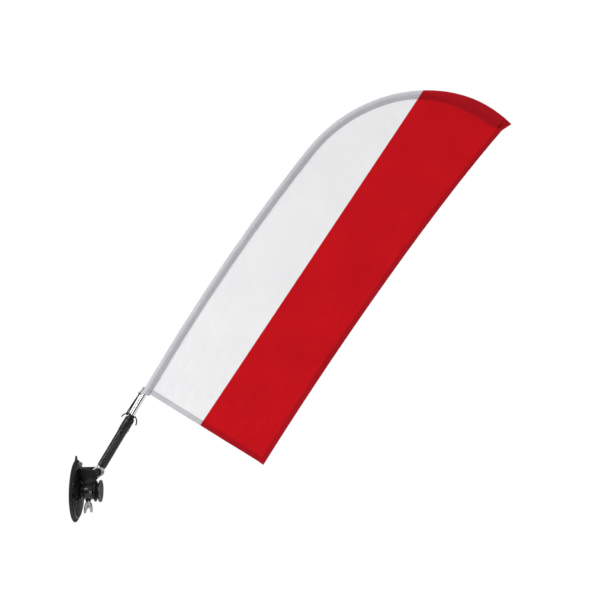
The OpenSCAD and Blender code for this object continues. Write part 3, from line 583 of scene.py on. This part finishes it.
half_discs = list(discs.verts)
bmesh.ops.translate(discs, verts=half_discs[:len(half_discs) // 2], vec=(0, -9, 0))
bmesh.ops.translate(discs, verts=half_discs[len(half_discs) // 2:], vec=(0, 9, 0))
piece(soften(discs, 0.25, 1), "friction_discs", "bracket", cup_rubber, nodes=["friction_washers"])

# %% [markdown]
# ### Wing screw
# A zinc die casting: a round head with two ears that thin towards their tips. Each ear is a plate
# with a wide soft bevel, which is then squeezed across, more and more towards its tip.

# %% Head and ears
screw_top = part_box("wing_screw")[0].z * 1000 + 23
ear_outline = [(0, -1.5), (4.5, -1.5), (7.6, -5), (9.4, -12), (10, -19), (9.2, -22.4), (7.2, -22.8),
               (5.2, -21), (3.6, -15.5), (0, -12.5)]
ears = []
for side in (1, -1):
    wing = soften(plate([(side * x, screw_top + z) for x, z in ear_outline], 3), 0.9, 3)
    for v in wing.verts:
        v.co.y *= 1.25 - 0.5 * min(1, max(0, (screw_top - v.co.z) / 23))
    ears.append(wing)
head = soften(turned_shape([(0, screw_top - 6.4), (3.4, screw_top - 6.4), (4.4, screw_top - 5),
                            (4.4, screw_top), (3, screw_top), (3, -13.3), (0, -13.3)], 48), 0.3)
head.transform(Matrix.Rotation(-math.pi / 2, 4, "Y"))
screw = joined(*ears, head)
screw.transform(Matrix.Translation((wing_x, 0, 0)) @ Matrix.Rotation(math.radians(50), 4, "Z"))
piece(screw, "wing_screw_casting", "wing", cast_alloy, nodes=["wing_screw"], smooth=60)

# %% [markdown]
# ## The arm
# From here on the pieces are drawn along the arm, with X running up it from the pivot. The arm is a
# cast eye, a black tube with fine flutes that stop your hand slipping, and a collar at its mouth.

# %% Eye, fluted tube and mouth
eye = soften(turned_shape([(3.1, -7.95), (10, -7.95), (10, 7.95), (3.1, 7.95)], 80, closed=True), 0.7)
eye.transform(Matrix.Rotation(math.pi / 2, 4, "Z"))
neck = soften(turned_shape([(0, 2), (7.9, 2), (7.9, 11), (7.2, 12), (6.9, 12), (6.9, 38), (0, 38)], 64), 0.4)
piece(joined(eye, neck), "arm_eye_casting", "arm", cast_alloy, place=ARM, nodes=["arm_eye"])

mouth_u = 115.0
FLUTES, FLUTED_FROM, FLUTED_TO = 10, 17.5, 83.5
flute_rows = [12, 12.6, 17, 18, 19, 20, 81, 82, 83, 84, mouth_u]
tube = turned_shape([(7, 12)] + [(8.5 if u > 12 else 8.1, u) for u in flute_rows] + [(7, mouth_u)], 320,
                    closed=True)
for v in tube.verts:
    r = math.hypot(v.co.y, v.co.z)
    if r > 8 and FLUTED_FROM < v.co.x < FLUTED_TO:
        step = 2 * math.pi / FLUTES
        a = abs((math.atan2(v.co.y, v.co.z) + step) % step - step / 2) * 8.5
        fade = min(1, (v.co.x - FLUTED_FROM) / 2, (FLUTED_TO - v.co.x) / 2)
        share = 1 - 0.45 * fade * max(0, 1 - (a / 0.95) ** 2) / 8.5
        v.co.y, v.co.z = v.co.y * share, v.co.z * share
piece(tube, "arm_tube_fluted", "arm", powder_coat, place=ARM, nodes=["arm_tube"],
      smooth=30)

mouth_profile = [(8.55, 88), (8.9, 88), (9.2, 88.4), (9.2, 89.6), (8.95, 90), (8.95, 91), (9.2, 91.4),
                 (9.2, 112.4), (9.0, 112.8),
                  (9.0, 113.4), (9.2, 113.8), (9.2, 114.7), (8.9, mouth_u), (8.55, mouth_u)]
piece(turned_shape(mouth_profile, 96, closed=True), "mouth_collar_ring", "arm", satin_black, place=ARM,
      nodes=["mouth_collar"])
lip = soften(turned_shape([(4.1, 64.5), (6.95, 64.5), (6.95, mouth_u), (8.3, mouth_u), (8.3, mouth_u + 2),
                           (4.1, mouth_u + 2)], 80, closed=True), 0.4)
piece(lip, "liner_lip", "arm", satin_black, place=ARM, nodes=["bearing_liner"])

# %% [markdown]
# ### Lock button
# A small bright pin with a domed end stands out of the collar's underside. Pressed in, it frees the
# pole.

# %% Button
button = turned_shape([(0, -10.7), (1.1, -10.6), (1.9, -10.25), (2.4, -9.6), (2.5, -8.9), (2.5, -6.1),
                       (3.1, -6.0), (3.1, -5.35), (0, -5.35)], 40)
button.transform(upright(mouth_u - 21))
piece(button, "lock_button_pin", "button", zinc_plate, place=ARM, nodes=["lock_button"])

# %% [markdown]
# ## The pole
# A chromed steel tube. Only the stretch between the arm's mouth and the flag shows, and its whole
# look is what it reflects, so it is a plain clean turning. A black cap on it carries two wire hooks
# for the tension cord.

# %% Pole, hook cap and hooks
shaft = turned_shape([(2.85, 50.3), (4, 50.3), (4, 228), (2.85, 228)], 96, closed=True)
piece(shaft, "pole_shaft", "pole", bright_chrome, place=ARM, nodes=["lower_pole"])
cap = turned_shape([(4.05, 117.3), (5.9, 117.3), (6.3, 117.7), (6.3, 118.6), (6.1, 118.8), (6.1, 119.4),
                    (6.3, 119.6), (6.3, 122.4),
                    (5.9, 122.9), (5.2, 123.1), (5.1, 124), (4.8, 124.3), (4.05, 124.3)], 80, closed=True)
piece(cap, "hook_cap_turned", "pole", satin_black, place=ARM, nodes=["hook_cap"])

hook_u = mouth_u - 5.5
HOOK_R, HOOK_WIRE_R, HOOK_STARTS, HOOK_TURNS = 15.5, 1.2, 22, 65
hooks = []
for side in (1, -1):
    wire = bmesh.new()
    bmesh.ops.create_circle(wire, segments=20, radius=HOOK_WIRE_R)
    bmesh.ops.translate(wire, verts=wire.verts, vec=(hook_u + HOOK_R, 0, 0))
    bmesh.ops.rotate(wire, verts=wire.verts, cent=(hook_u, 0, 0),
                     matrix=Matrix.Rotation(-side * math.radians(HOOK_STARTS), 3, "Y"))
    bmesh.ops.spin(wire, geom=list(wire.verts) + list(wire.edges), cent=(hook_u, 0, 0), axis=(0, -side, 0),
                   angle=math.radians(HOOK_TURNS), steps=28)
    bmesh.ops.holes_fill(wire, edges=wire.edges, sides=20)
    bmesh.ops.recalc_face_normals(wire, faces=wire.faces)
    hooks.append(soften(wire, 0.7, 3, sharper_than=60))
piece(joined(*hooks), "cord_hooks", "pole", satin_black, place=ARM, nodes=["anchor_hooks"],
      smooth=50)

# %% [markdown]
# ## Sweeping along a path
# The cord, the sleeve and the hems are all one section carried along a line. The section's ring of
# points is extruded edge by edge and each new ring is placed by the next frame of the path. A UV map
# is laid as it goes: U round the section and V along the path in millimetres.


# %% Carry a section along frames
def swept(section, frames, closed=False, capped=False):
    """section: (across, up) points. frames: 4x4 matrices whose X is the way along."""
    bm = bmesh.new()
    uv = bm.loops.layers.uv.new("way")
    home = [Vector((0, a, b)) for a, b in section]
    ring = [bm.verts.new(frames[0] @ p) for p in home]
    edges = [bm.edges.new((ring[k], ring[(k + 1) % len(ring)])) for k in range(len(ring))]
    first, way, tags = ring, 0.0, {v: (k, 0.0) for k, v in enumerate(ring)}
    for before, now in zip(frames, frames[1:]):
        out = bmesh.ops.extrude_edge_only(bm, edges=edges)
        edges = [g for g in out["geom"] if isinstance(g, bmesh.types.BMEdge)]
        way += (now.translation - before.translation).length
        fresh = {v for e in edges for v in e.verts}
        step = []
        for v in ring:
            new = next(e.other_vert(v) for e in v.link_edges if e.other_vert(v) in fresh)
            step.append(new)
        for k, v in enumerate(step):
            v.co = now @ home[k]
            tags[v] = (k, way)
        edges = [e for e in edges if e.verts[0] in fresh and e.verts[1] in fresh]
        ring = step
    for f in bm.faces:
        ks = [tags[loop.vert][0] for loop in f.loops]
        wraps = max(ks) - min(ks) > 1
        for loop, k in zip(f.loops, ks):
            loop[uv].uv = ((k + (len(home) if wraps and k == 0 else 0)) / len(home), tags[loop.vert][1])
    if capped:
        for r in (first, ring):
            bm.faces.new(r)
    if closed:
        bmesh.ops.bridge_loops(bm, edges=[e for e in bm.edges if e.is_boundary])
    bmesh.ops.recalc_face_normals(bm, faces=bm.faces)
    return bm


def circle_section(radius, steps):
    return [(radius * math.cos(2 * math.pi * k / steps), radius * math.sin(2 * math.pi * k / steps))
            for k in range(steps)]


def carried_frames(points):
    """Frames along points that turn as little as they can from one to the next."""
    frames, last, up = [], None, None
    for k, p in enumerate(points):
        ahead = (points[min(k + 1, len(points) - 1)] - points[max(k - 1, 0)]).normalized()
        if last is None:
            up = ahead.cross(Vector((0, 1, 0.3))).normalized()
        else:
            up = last.rotation_difference(ahead) @ up
        up = (up - ahead * up.dot(ahead)).normalized()
        side = up.cross(ahead)
        frames.append(Matrix(((ahead.x, side.x, up.x, p.x), (ahead.y, side.y, up.y, p.y),
                              (ahead.z, side.z, up.z, p.z), (0, 0, 0, 1))))
        last = ahead
    return frames


# %% [markdown]
# ## The tension cord
# An elastic loop, sewn into a tab on the sleeve and hooked under one wire hook, which keeps the flag
# pulled down its pole. It is held at both ends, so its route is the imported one: out of the tab's
# eye, down one side of the wire, across under it, and back up the other side.

# %% Cord
tab_u, tab_v, low_u = 166.0, 8.6, hook_u + 9.5
ROUTE = [(1, 0, tab_v), (0.985, -1.9, tab_v), (0.93, -2.8, 8.5), (0.8, -3, 8.4), (0.6, -3, 8.2),
         (0.4, -3, 8), (0.2, -3, 7.8),
         (0.07, -2.9, 7.6), (0.02, -2.2, 7.9), (0, -0.6, 8.6), (0, 1.1, 9.3), (0.02, 2.6, 10.4),
         (0.07, 3.2, 11.1), (0.2, 3.3, 11),
         (0.4, 3.3, 10.6), (0.6, 3.2, 10.1), (0.8, 3.1, 9.5), (0.93, 2.8, 8.9), (0.985, 1.9, tab_v),
         (1, 0, tab_v)]
spots = [Vector((low_u + share * (tab_u - low_u), y, v)) for share, y, v in ROUTE]
smooth_way = []
for k in range(len(spots) - 1):
    a, b, c = spots[k - 1 if k else -2], spots[k], spots[k + 1]
    d = spots[k + 2] if k + 2 < len(spots) else spots[1]
    for t in [j / 6 for j in range(6)]:
        smooth_way.append(0.5 * (2 * b + (c - a) * t + (2 * a - 5 * b + 4 * c - d) * t * t
                                 + (3 * b - a - 3 * c + d) * t ** 3))
smooth_way.append(spots[-1])
cord_bm = swept(circle_section(1.1, 14), carried_frames(smooth_way), capped=True)
cord = piece(cord_bm, "tension_loop", "pole", black_braid, place=ARM, nodes=["tension_cord"])

# %% [markdown]
# ## The pole's line
# The flag's sleeve follows the pole: straight, then three bends that tighten towards the tip. One
# function gives the point and the heading at any distance from the pivot, and the sleeve, the
# flag's edge and the stitches all read it.

# %% Point and heading along the pole
STRAIGHT_END = 229.0
BENDS = [(3700, 7.5), (285, 36.5), (222, 59)]


def on_pole(way):
    """The point (u, v) and the turn so far, in radians, at a distance from the pivot."""
    u, v, turned, left = min(way, STRAIGHT_END), 0.0, 0.0, way - STRAIGHT_END
    for radius, angle in BENDS:
        if left <= 0:
            break
        step = min(left / radius, math.radians(angle))
        u += radius * (math.sin(turned + step) - math.sin(turned))
        v -= radius * (math.cos(turned) - math.cos(turned + step))
        turned, left = turned + step, left - radius * math.radians(angle)
    return Vector((u, 0, v)), turned


def beside(way, out):
    """A point beside the pole: out is away from the flag."""
    p, turned = on_pole(way)
    return p + out * Vector((math.sin(turned), 0, math.cos(turned)))


def pole_frame(way):
    p, turned = on_pole(way)
    ahead = Vector((math.cos(turned), 0, -math.sin(turned)))
    out = Vector((math.sin(turned), 0, math.cos(turned)))
    return Matrix(((ahead.x, 0, out.x, p.x), (0, 1, 0, 0), (ahead.z, 0, out.z, p.z), (0, 0, 0, 1)))


SLEEVE_FROM, FLAG_FROM = 170.0, 174.0
POLE_END = STRAIGHT_END + sum(r * math.radians(a) for r, a in BENDS)
TIP_BEND_R = BENDS[-1][0]
POCKET_FROM = POLE_END - TIP_BEND_R * math.radians(3)
print("sleeve", round(POLE_END - SLEEVE_FROM, 1), "mm along the pole")

# %% [markdown]
# ## The flag's cloth
# The flag is one printed sheet. Its left edge is sewn to the sleeve, and the right one, the fly,
# bows in a little so that it doesn't flap. A grid is laid between those two edges: `a` goes up the
# flag from 0 to 1 and `b` across it. Anything sewn to the flag uses the same two numbers, so it
# follows the cloth exactly.

# %% The two edges and the grid between them
low_corner = Vector((FLAG_FROM - 2, 0, -257))
tip = on_pole(POLE_END)[0]
fly_aim = tip + Vector((-13.5, 0, 8.5))
fly_top = tip + Vector((-8.3, 0, 2.8))
tip_corner = tip + Vector((10, 0, -6))
SEWN = -9.0
fly_way = (fly_aim - low_corner).normalized()
fly_in = Vector((-fly_way.z, 0, fly_way.x))


def fly_edge(a):
    p = low_corner.lerp(fly_aim, a)
    return p + fly_in * 10 * 4 * a * (1 - a) + (fly_top - fly_aim) * a ** 8


def sewn_edge(a):
    return beside(FLAG_FROM + a * (POCKET_FROM - FLAG_FROM), SEWN)


# %% [markdown]
# ### How the cloth hangs
# Cloth held along one edge isn't flat: its own weight pulls it into long shallow waves that run down
# from the tip. The sheet starts from a drawn wave, because a perfectly flat one has no reason to buckle
# either way. It is pinned along the sleeve and the pocket, gravity pulls it for a moment, and only
# its sideways places are kept, scaled down so that none is over seven millimetres, because this flag
# hangs almost flat. The pinned points keep their drawn places.

# %% Simulated waves
ACROSS, UP = 32, 72


def hang_cloth():
    bm = bmesh.new()
    bmesh.ops.create_grid(bm, x_segments=UP, y_segments=ACROSS, size=0.5)
    spot = {}
    for v in bm.verts:
        a, b = min(1, max(0, v.co.x + 0.5)), min(1, max(0, v.co.y + 0.5))
        spot[v.index] = (a, b)
        p = sewn_edge(a).lerp(fly_edge(a), b)
        start = 5 * b * math.sin(9 * a + 2.2 * b) + 3 * b * b * math.sin(21 * a - 4 * b)
        v.co = ARM @ Vector((p.x, start, p.z))
    mesh = bpy.data.meshes.new("hanging")
    bm.to_mesh(mesh)
    bm.free()
    obj = bpy.data.objects.new("hanging", mesh)
    bpy.context.scene.collection.objects.link(obj)
    group = obj.vertex_groups.new(name="pinned")
    group.add([k for k, (a, b) in spot.items() if b < 0.001 or a > 0.999], 1.0, "REPLACE")
    cloth = obj.modifiers.new("cloth", "CLOTH")
    s = cloth.settings
    s.quality, s.mass, s.air_damping = 6, 0.11, 4.0
    s.tension_stiffness = s.compression_stiffness = s.shear_stiffness = 40
    s.bending_stiffness, s.tension_damping, s.bending_damping = 0.6, 12, 2.0
    s.vertex_group_mass, s.pin_stiffness = "pinned", 20
    cloth.point_cache.frame_start, cloth.point_cache.frame_end = 1, 36
    for f in range(1, 37):
        bpy.context.scene.frame_set(f)
    now = obj.evaluated_get(bpy.context.evaluated_depsgraph_get()).to_mesh()
    out = {}
    for k, (a, b) in spot.items():
        out[(round(a * UP), round(b * ACROSS))] = now.vertices[k].co.y * 1000
    bpy.context.scene.frame_set(1)
    bpy.data.objects.remove(obj)
    bpy.data.meshes.remove(mesh)
    return out


waves = hang_cloth()
tallest = max(abs(y) for y in waves.values())
MOST = 7.0
print("waves", len(waves), "points, tallest", round(tallest, 2), "mm before it is limited to", MOST)


def wave_at(a, b):
    """Sideways place of the cloth at (a, b), in millimetres, between the grid's points."""
    x, y = min(max(a, 0), 1) * UP, min(max(b, 0), 1) * ACROSS
    i, j = min(int(x), UP - 1), min(int(y), ACROSS - 1)
    fx, fy = x - i, y - j
    low = waves[(i, j)] * (1 - fy) + waves[(i, j + 1)] * fy
    high = waves[(i + 1, j)] * (1 - fy) + waves[(i + 1, j + 1)] * fy
    return (low * (1 - fx) + high * fx) * min(1, MOST / tallest)


def on_flag(a, b, lift=0.0):
    """The flag's point at (a, b), lifted off its middle by lift."""
    p = sewn_edge(a).lerp(fly_edge(a), b)
    return Vector((p.x, wave_at(a, b) + lift, p.z))

# %% [markdown]
# ### The printed panel
# White above the colour line and red below it, on one piece of cloth. The grid is laid on the flag,
# a plane cuts it along the colour line, and the faces on each side get their own ink, so the line
# stays crisp however the cloth waves.

# %% Panel
LINE_FOOT, LINE_LEAN = Vector((FLAG_FROM, 0, -118.5)), math.radians(2.75)
LINE_OUT = Vector((math.sin(LINE_LEAN), 0, math.cos(LINE_LEAN)))


def split_colours(bm):
    """Cuts a mesh along the colour line. Faces on the red side get the second finish."""
    bmesh.ops.bisect_plane(bm, geom=list(bm.verts) + list(bm.edges) + list(bm.faces), dist=1e-4,
                           plane_co=LINE_FOOT, plane_no=LINE_OUT)
    for f in bm.faces:
        f.material_index = 0 if (f.calc_center_median() - LINE_FOOT).dot(LINE_OUT) > 0 else 1
    return bm


panel = bmesh.new()
bmesh.ops.create_grid(panel, x_segments=150, y_segments=56, size=0.5)
for v in panel.verts:
    a, b = 0.004 + 0.996 * (v.co.x + 0.5), 0.994 * (v.co.y + 0.5)
    v.co = on_flag(a, b)
split_colours(panel)
flat_area = sum(f.calc_area() for f in panel.faces) / 1e6
flag_panel = piece(panel, "flag_panel", "pole", [white_print, red_print], place=ARM,
                   nodes=["white_field", "red_field"], smooth=180)
thick = flag_panel.modifiers.new("cloth thickness", "SOLIDIFY")
thick.thickness, thick.offset = 0.0006, 0

# %% [markdown]
# ### Hems
# Both free edges are folded over twice and sewn down, which leaves a band a centimetre wide that is
# three cloths thick. A hem is drawn flat, as a long bar with a rounded fold, and then each of its
# points is laid on the flag, so that it waves with the cloth. Sewing draws the band up a little, and
# that puckering is strongest at the free corner.

# %% Bottom hem and fly hem
hem_section = [(0.9, 1.1), (0.66, 0.36), (0, 0), (-0.66, 0.36), (-0.9, 1.1), (-0.98, 3.4), (-0.92, 6.6),
               (-0.62, 7.8), (-0.84, 8.9),
               (-0.66, 9.8), (0, 10), (0.66, 9.8), (0.84, 8.9), (0.62, 7.8), (0.92, 6.6), (0.98, 3.4)]


def flag_width(a):
    return (fly_edge(a) - sewn_edge(a)).length


def flag_height(b):
    return (on_flag(0.02, b) - on_flag(0, b)).length / 0.02


def pucker(a, way, depth):
    strong = 0.25 + 0.9 * max(0, 1 - 5 * a)
    return strong * depth * (0.32 * math.sin(way / 2.6) + 0.28 * noise.noise(Vector((way / 9, 3.1, 0))))


def flat_bar(length, steps):
    frames = [Matrix.Translation((length * k / steps, 0, 0)) for k in range(steps + 1)]
    return swept(hem_section, frames, capped=True)


bottom = flat_bar(1000, 90)
for v in bottom.verts:
    b, lift, d = v.co.x / 1000 * 0.998, v.co.y, v.co.z
    v.co = on_flag(d / flag_height(b), b, lift + pucker(1 - b, b * 250, 0.6))
piece(split_colours(bottom), "bottom_hem", "pole", [white_double_painted_shade, red_double_painted_shade], place=ARM,
      nodes=["bottom_hem_white", "bottom_hem_red"], smooth=60)
fly = flat_bar(1000, 220)
for v in fly.verts:
    a, lift, d = v.co.x / 1000, v.co.y * 1.04, v.co.z
    v.co = on_flag(a, max(0, 1 - d / flag_width(a)), lift + pucker(a, a * 780, 1))
piece(fly, "fly_hem_band", "pole", red_double_painted_shade, place=ARM, nodes=["fly_hem"], smooth=60)

# %% [markdown]
# ## The sleeve
# A strip of doubled cloth wraps the pole and is sewn to itself beside it. Its section is round over
# the pole and drawn in to a flat sewn edge. The outside and the bore are swept along the pole, the
# rings at each end are bridged, and a little noise along its length gives the small wrinkles that a
# sewn tube has, most of all near the seam.

# %% Sleeve with its wrinkles
edge = 0.9
round_part = [(5.7 * math.sin(math.radians(t)), 5.7 * math.cos(math.radians(t)))
              for t in [-118 + 236 * k / 25 for k in range(26)]]
side_part = [(3.9, -4.1), (2.4, -5.9), (1.35, -7.1), (edge, -8.2), (0.5, -9)]
sleeve_section = round_part + side_part + [(-y, v) for y, v in reversed(side_part)]
bore_section = circle_section(4.7, len(sleeve_section))
LIFT_FROM = POLE_END - TIP_BEND_R * math.radians(54)


def stretched_out(way):
    """Round the tight bend the cloth cuts straighter than the pole, so the section grows outwards."""
    share = min(1, max(0, way - LIFT_FROM) / (TIP_BEND_R * math.radians(42)))
    return Matrix.Diagonal((1, 1, 1 + 5.2 * share * share * (3 - 2 * share) / 5.7, 1))


sleeve_ways = [SLEEVE_FROM + (POCKET_FROM - SLEEVE_FROM) * k / 260 for k in range(261)]
outside = swept(sleeve_section, [pole_frame(w) @ stretched_out(w) for w in sleeve_ways])
for k, v in enumerate(outside.verts):
    crumple = noise.noise(v.co / 7) * 0.32 + noise.noise(v.co / 21) * 0.4
    v.co.y += crumple * (0.9 if abs(v.co.y) < 3 else 0.35)
    foot = max(0, 1 - (v.co.x - SLEEVE_FROM) / 14)
    v.co.x -= 4.5 * foot * max(0, v.co.z) / 5.7
    v.co.z += 1.6 * foot * foot * max(0, v.co.z) / 5.7
bore = swept(bore_section, [pole_frame(w) for w in sleeve_ways[::10]])
both = bmesh.new()
for part in (outside, bore):
    mesh = bpy.data.meshes.new("part")
    part.to_mesh(mesh)
    both.from_mesh(mesh)
    part.free()
for at in (SLEEVE_FROM, POCKET_FROM):
    middle_of = pole_frame(at).translation
    rims = [e for e in both.edges if e.is_boundary and (e.verts[0].co - middle_of).length < 14]
    bmesh.ops.bridge_loops(both, edges=rims)
split_colours(both)
bmesh.ops.recalc_face_normals(both, faces=both.faces)
piece(both, "pole_sleeve", "pole", [white_double_painted_shade, red_double_painted_shade], place=ARM,
               nodes=["sleeve_white", "sleeve_red"], smooth=70)

# %% [markdown]
# ### Tip pocket
# At the top the sleeve closes to a flat point, so that the pole can't push through. The pocket
# starts with the sleeve's own section and runs straight to the point, flattening on the way.

# %% Pocket
pocket = swept(sleeve_section, [Matrix.Translation((k * 10, 0, 0)) for k in range(13)], capped=True)
for v in pocket.verts:
    t, y, out = v.co.x / 120, v.co.y, v.co.z
    here = beside(POCKET_FROM, out * (stretched_out(POCKET_FROM)[2][2] if out > 0 else 1))
    there = tip_corner.lerp(fly_top, (5.7 - out) / 14.7)
    v.co = here.lerp(there, t) + Vector((0, y * (1 - 0.84 * min(1, 1.5 * t)), 0))
piece(pocket, "tip_pocket_cloth", "pole", red_double_painted_shade, place=ARM, nodes=["tip_pocket"],
      smooth=60)

# %% [markdown]
# ### Stitches
# Every seam on a flag is a row of short bright lines. Each stitch here is one tiny stretched ball,
# lying in its seam on both faces of the cloth. There are over a thousand, so each has few faces.


# %% Rows of stitches
def stitch(bm, start, end, thick=0.24):
    ahead = (end - start) / 2
    side = Vector((0, 1, 0))
    up = ahead.normalized().cross(side)
    m = (start + end) / 2
    place = Matrix(((ahead.x, side.x * thick, up.x * thick, m.x),
                    (ahead.y, side.y * thick, up.y * thick, m.y),
                    (ahead.z, side.z * thick, up.z * thick, m.z), (0, 0, 0, 1)))
    bmesh.ops.create_uvsphere(bm, u_segments=6, v_segments=4, radius=1, matrix=place)


def stitch_row(point, length, pitch=3.2, share=0.74):
    """point(distance, side) gives the seam's place on one face of the cloth."""
    bm = bmesh.new()
    count = int(length / pitch)
    for side in (1, -1):
        for k in range(count):
            stitch(bm, point(k * pitch, side), point((k + share) * pitch, side))
    return bm


def sleeve_seam(way, side):
    p = beside(SLEEVE_FROM + 3 + way, -7.1)
    return Vector((p.x, side * 1.4, p.z))


def fly_seam(way, side):
    a = way / 782
    return on_flag(a, max(0, 1 - 7.8 / flag_width(a)), side * 0.72 + pucker(a, way, 1))


def bottom_seam(way, side):
    b = way / 247
    return on_flag(7.8 / flag_height(b), b, side * 0.72 + pucker(1 - b, b * 250, 0.6))


sleeve_row = stitch_row(sleeve_seam, POCKET_FROM - SLEEVE_FROM - 6)
hem_rows = joined(stitch_row(fly_seam, 776), stitch_row(bottom_seam, 240))
for row in (sleeve_row, hem_rows):
    for f in row.faces:
        f.material_index = 0 if (f.calc_center_median() - LINE_FOOT).dot(LINE_OUT) > 0 else 1
piece(sleeve_row, "sleeve_stitches", "pole", [pale_thread, red_thread], place=ARM, nodes=["sleeve_thread"])
piece(hem_rows, "hem_stitches", "pole", [pale_thread, red_thread], place=ARM, nodes=["hem_thread"])

# %% [markdown]
# ### Tab and bartacks
# A folded tape sewn to the sleeve's foot holds the cord. Tape and sleeve are locked with bartacks:
# tight zigzags of dark thread.

# %% Tab and bartacks
loop = soften(ring_plate((tab_u, tab_v), 3.2, 1.65, 1.9, 32), 0.3, 1)
tail = soften(block((tab_u + 1.4, -0.95, 5.2), (tab_u + 14, 0.95, 9.4)), 0.4)
piece(joined(loop, tail), "cord_tab_tape", "pole", grey_tape, place=ARM, nodes=["cord_tab"])
tacks = bmesh.new()
for side in (1, -1):
    for u, v, across_by in [(SLEEVE_FROM + 6, -8.4, 4.5), (SLEEVE_FROM + 6, -3.6, 2.5)]:
        for k in range(9):
            y = side * (1.05 if v < -5 else 4.6)
            stitch(tacks, Vector((u + 0.55 * k, y, v)), Vector((u + 0.55 * (k + 0.7), y, v + across_by)), 0.3)
dark_thread = cloth_finish("dark_thread", (0.08, 0.08, 0.09), (0.05, 0.05, 0.06), pitch=0.0003, rough=0.5)
piece(tacks, "bartacks", "pole", dark_thread, place=ARM)

# %% [markdown]
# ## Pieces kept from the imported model
# What is inside, or is plain and small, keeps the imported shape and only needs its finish.

# %% Finishes for kept pieces
kept = {"thrust_washer": zinc_plate, "draw_plate": zinc_plate, "draw_stud": zinc_plate,
        "knob_insert": turned_brass,
        "retaining_screw": zinc_plate, "bracket_screws": zinc_plate, "eye_pin": black_oxide,
        "pole_rest": natural_nylon,
        "pole_foot": natural_nylon, "pole_ferrule": bright_chrome, "flex_rod": glass_fibre,
        "tip_cap": cup_rubber,
        "cap_grub_screw": zinc_plate}
for name, m in kept.items():
    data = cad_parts[name].data
    data.materials.clear()
    data.materials.append(m)
print("kept from the packed model:", len(kept))

# %% [markdown]
# ## Light and floor
# A plain pale floor well below, and five soft lamps: a large key up to the left, a fill on the right
# that keeps the sleeve's far side from going dark, one above, a narrow strip that draws a line of
# light down the tube, and one behind for the rims, which the camera doesn't see. The room is white to
# the camera, but the light it gives is a grey ramp, darker towards the ground, so that chrome and
# gloss have something to reflect.


# %% Room
def lamp(name, at, size, power, target=(0.3, 0, 0.3)):
    light = bpy.data.lights.new(name, "AREA")
    light.shape, light.size, light.size_y, light.energy = "RECTANGLE", size[0], size[1], power
    obj = bpy.data.objects.new(name, light)
    bpy.context.scene.collection.objects.link(obj)
    obj.location = at
    obj.rotation_euler = (Vector(target) - Vector(at)).to_track_quat("-Z", "Y").to_euler()
    return obj


lamp("key", (-1.1, -2.2, 1.7), (1.0, 1.0), 38)
lamp("fill", (2.4, -1.8, 0.8), (0.8, 1.6), 29)
lamp("top", (0.4, 0.3, 2.6), (1.6, 1.6), 14)
lamp("left strip", (-1.2, -0.75, 0.6), (0.14, 1.6), 13, (0.05, 0, 0.1))
lamp("back", (-1.6, 2.2, 1.6), (1.2, 1.2), 16).visible_camera = False
room = bpy.data.worlds.new("room")
bpy.context.scene.world = room
room.use_nodes = True
tree = room.node_tree
sky = tree.nodes["Background"]
eye_sees = add(tree, "ShaderNodeBackground", Strength=1.0)
eye_sees.inputs["Color"].default_value = (1, 1, 1, 1)
direct = add(tree, "ShaderNodeLightPath")
height = add(tree, "ShaderNodeSeparateXYZ")
link(tree, add(tree, "ShaderNodeTexCoord").outputs["Generated"], height.inputs[0])
ramp = add(tree, "ShaderNodeValToRGB")
ramp.color_ramp.elements[0].position, ramp.color_ramp.elements[0].color = 0.3, (0.12, 0.12, 0.12, 1)
ramp.color_ramp.elements[1].position, ramp.color_ramp.elements[1].color = 0.8, (0.8, 0.8, 0.8, 1)
lifted = add(tree, "ShaderNodeMath", operation="MULTIPLY_ADD")
lifted.inputs[1].default_value = lifted.inputs[2].default_value = 0.5
link(tree, height.outputs["Z"], lifted.inputs[0])
link(tree, lifted.outputs[0], ramp.inputs[0])
link(tree, ramp.outputs["Color"], sky.inputs["Color"])
sky.inputs["Strength"].default_value = 0.6
either = add(tree, "ShaderNodeMixShader")
link(tree, direct.outputs["Is Camera Ray"], either.inputs[0])
link(tree, sky.outputs[0], either.inputs[1])
link(tree, eye_sees.outputs[0], either.inputs[2])
link(tree, either.outputs[0], tree.nodes["World Output"].inputs["Surface"])
ground = bmesh.new()
bmesh.ops.create_grid(ground, x_segments=4, y_segments=4, size=1)
bmesh.ops.translate(ground, verts=ground.verts, vec=(0.4, 0, -0.45))
mesh = bpy.data.meshes.new("floor")
ground.to_mesh(mesh)
ground.free()
pale = finish("pale_floor", (0.9, 0.9, 0.9), (0.88, 0.88, 0.88), (0.7, 0.8), broad=2, fine=40, bump=0.02)
mesh.materials.append(pale)
floor = bpy.data.objects.new("floor", mesh)
bpy.context.scene.collection.objects.link(floor)
bpy.context.scene.view_settings.view_transform = "Standard"
print("room ready")

# %% [markdown]
# ## Last update
# The view layer is brought up to date.

# %% Update the view layer
bpy.context.view_layer.update()
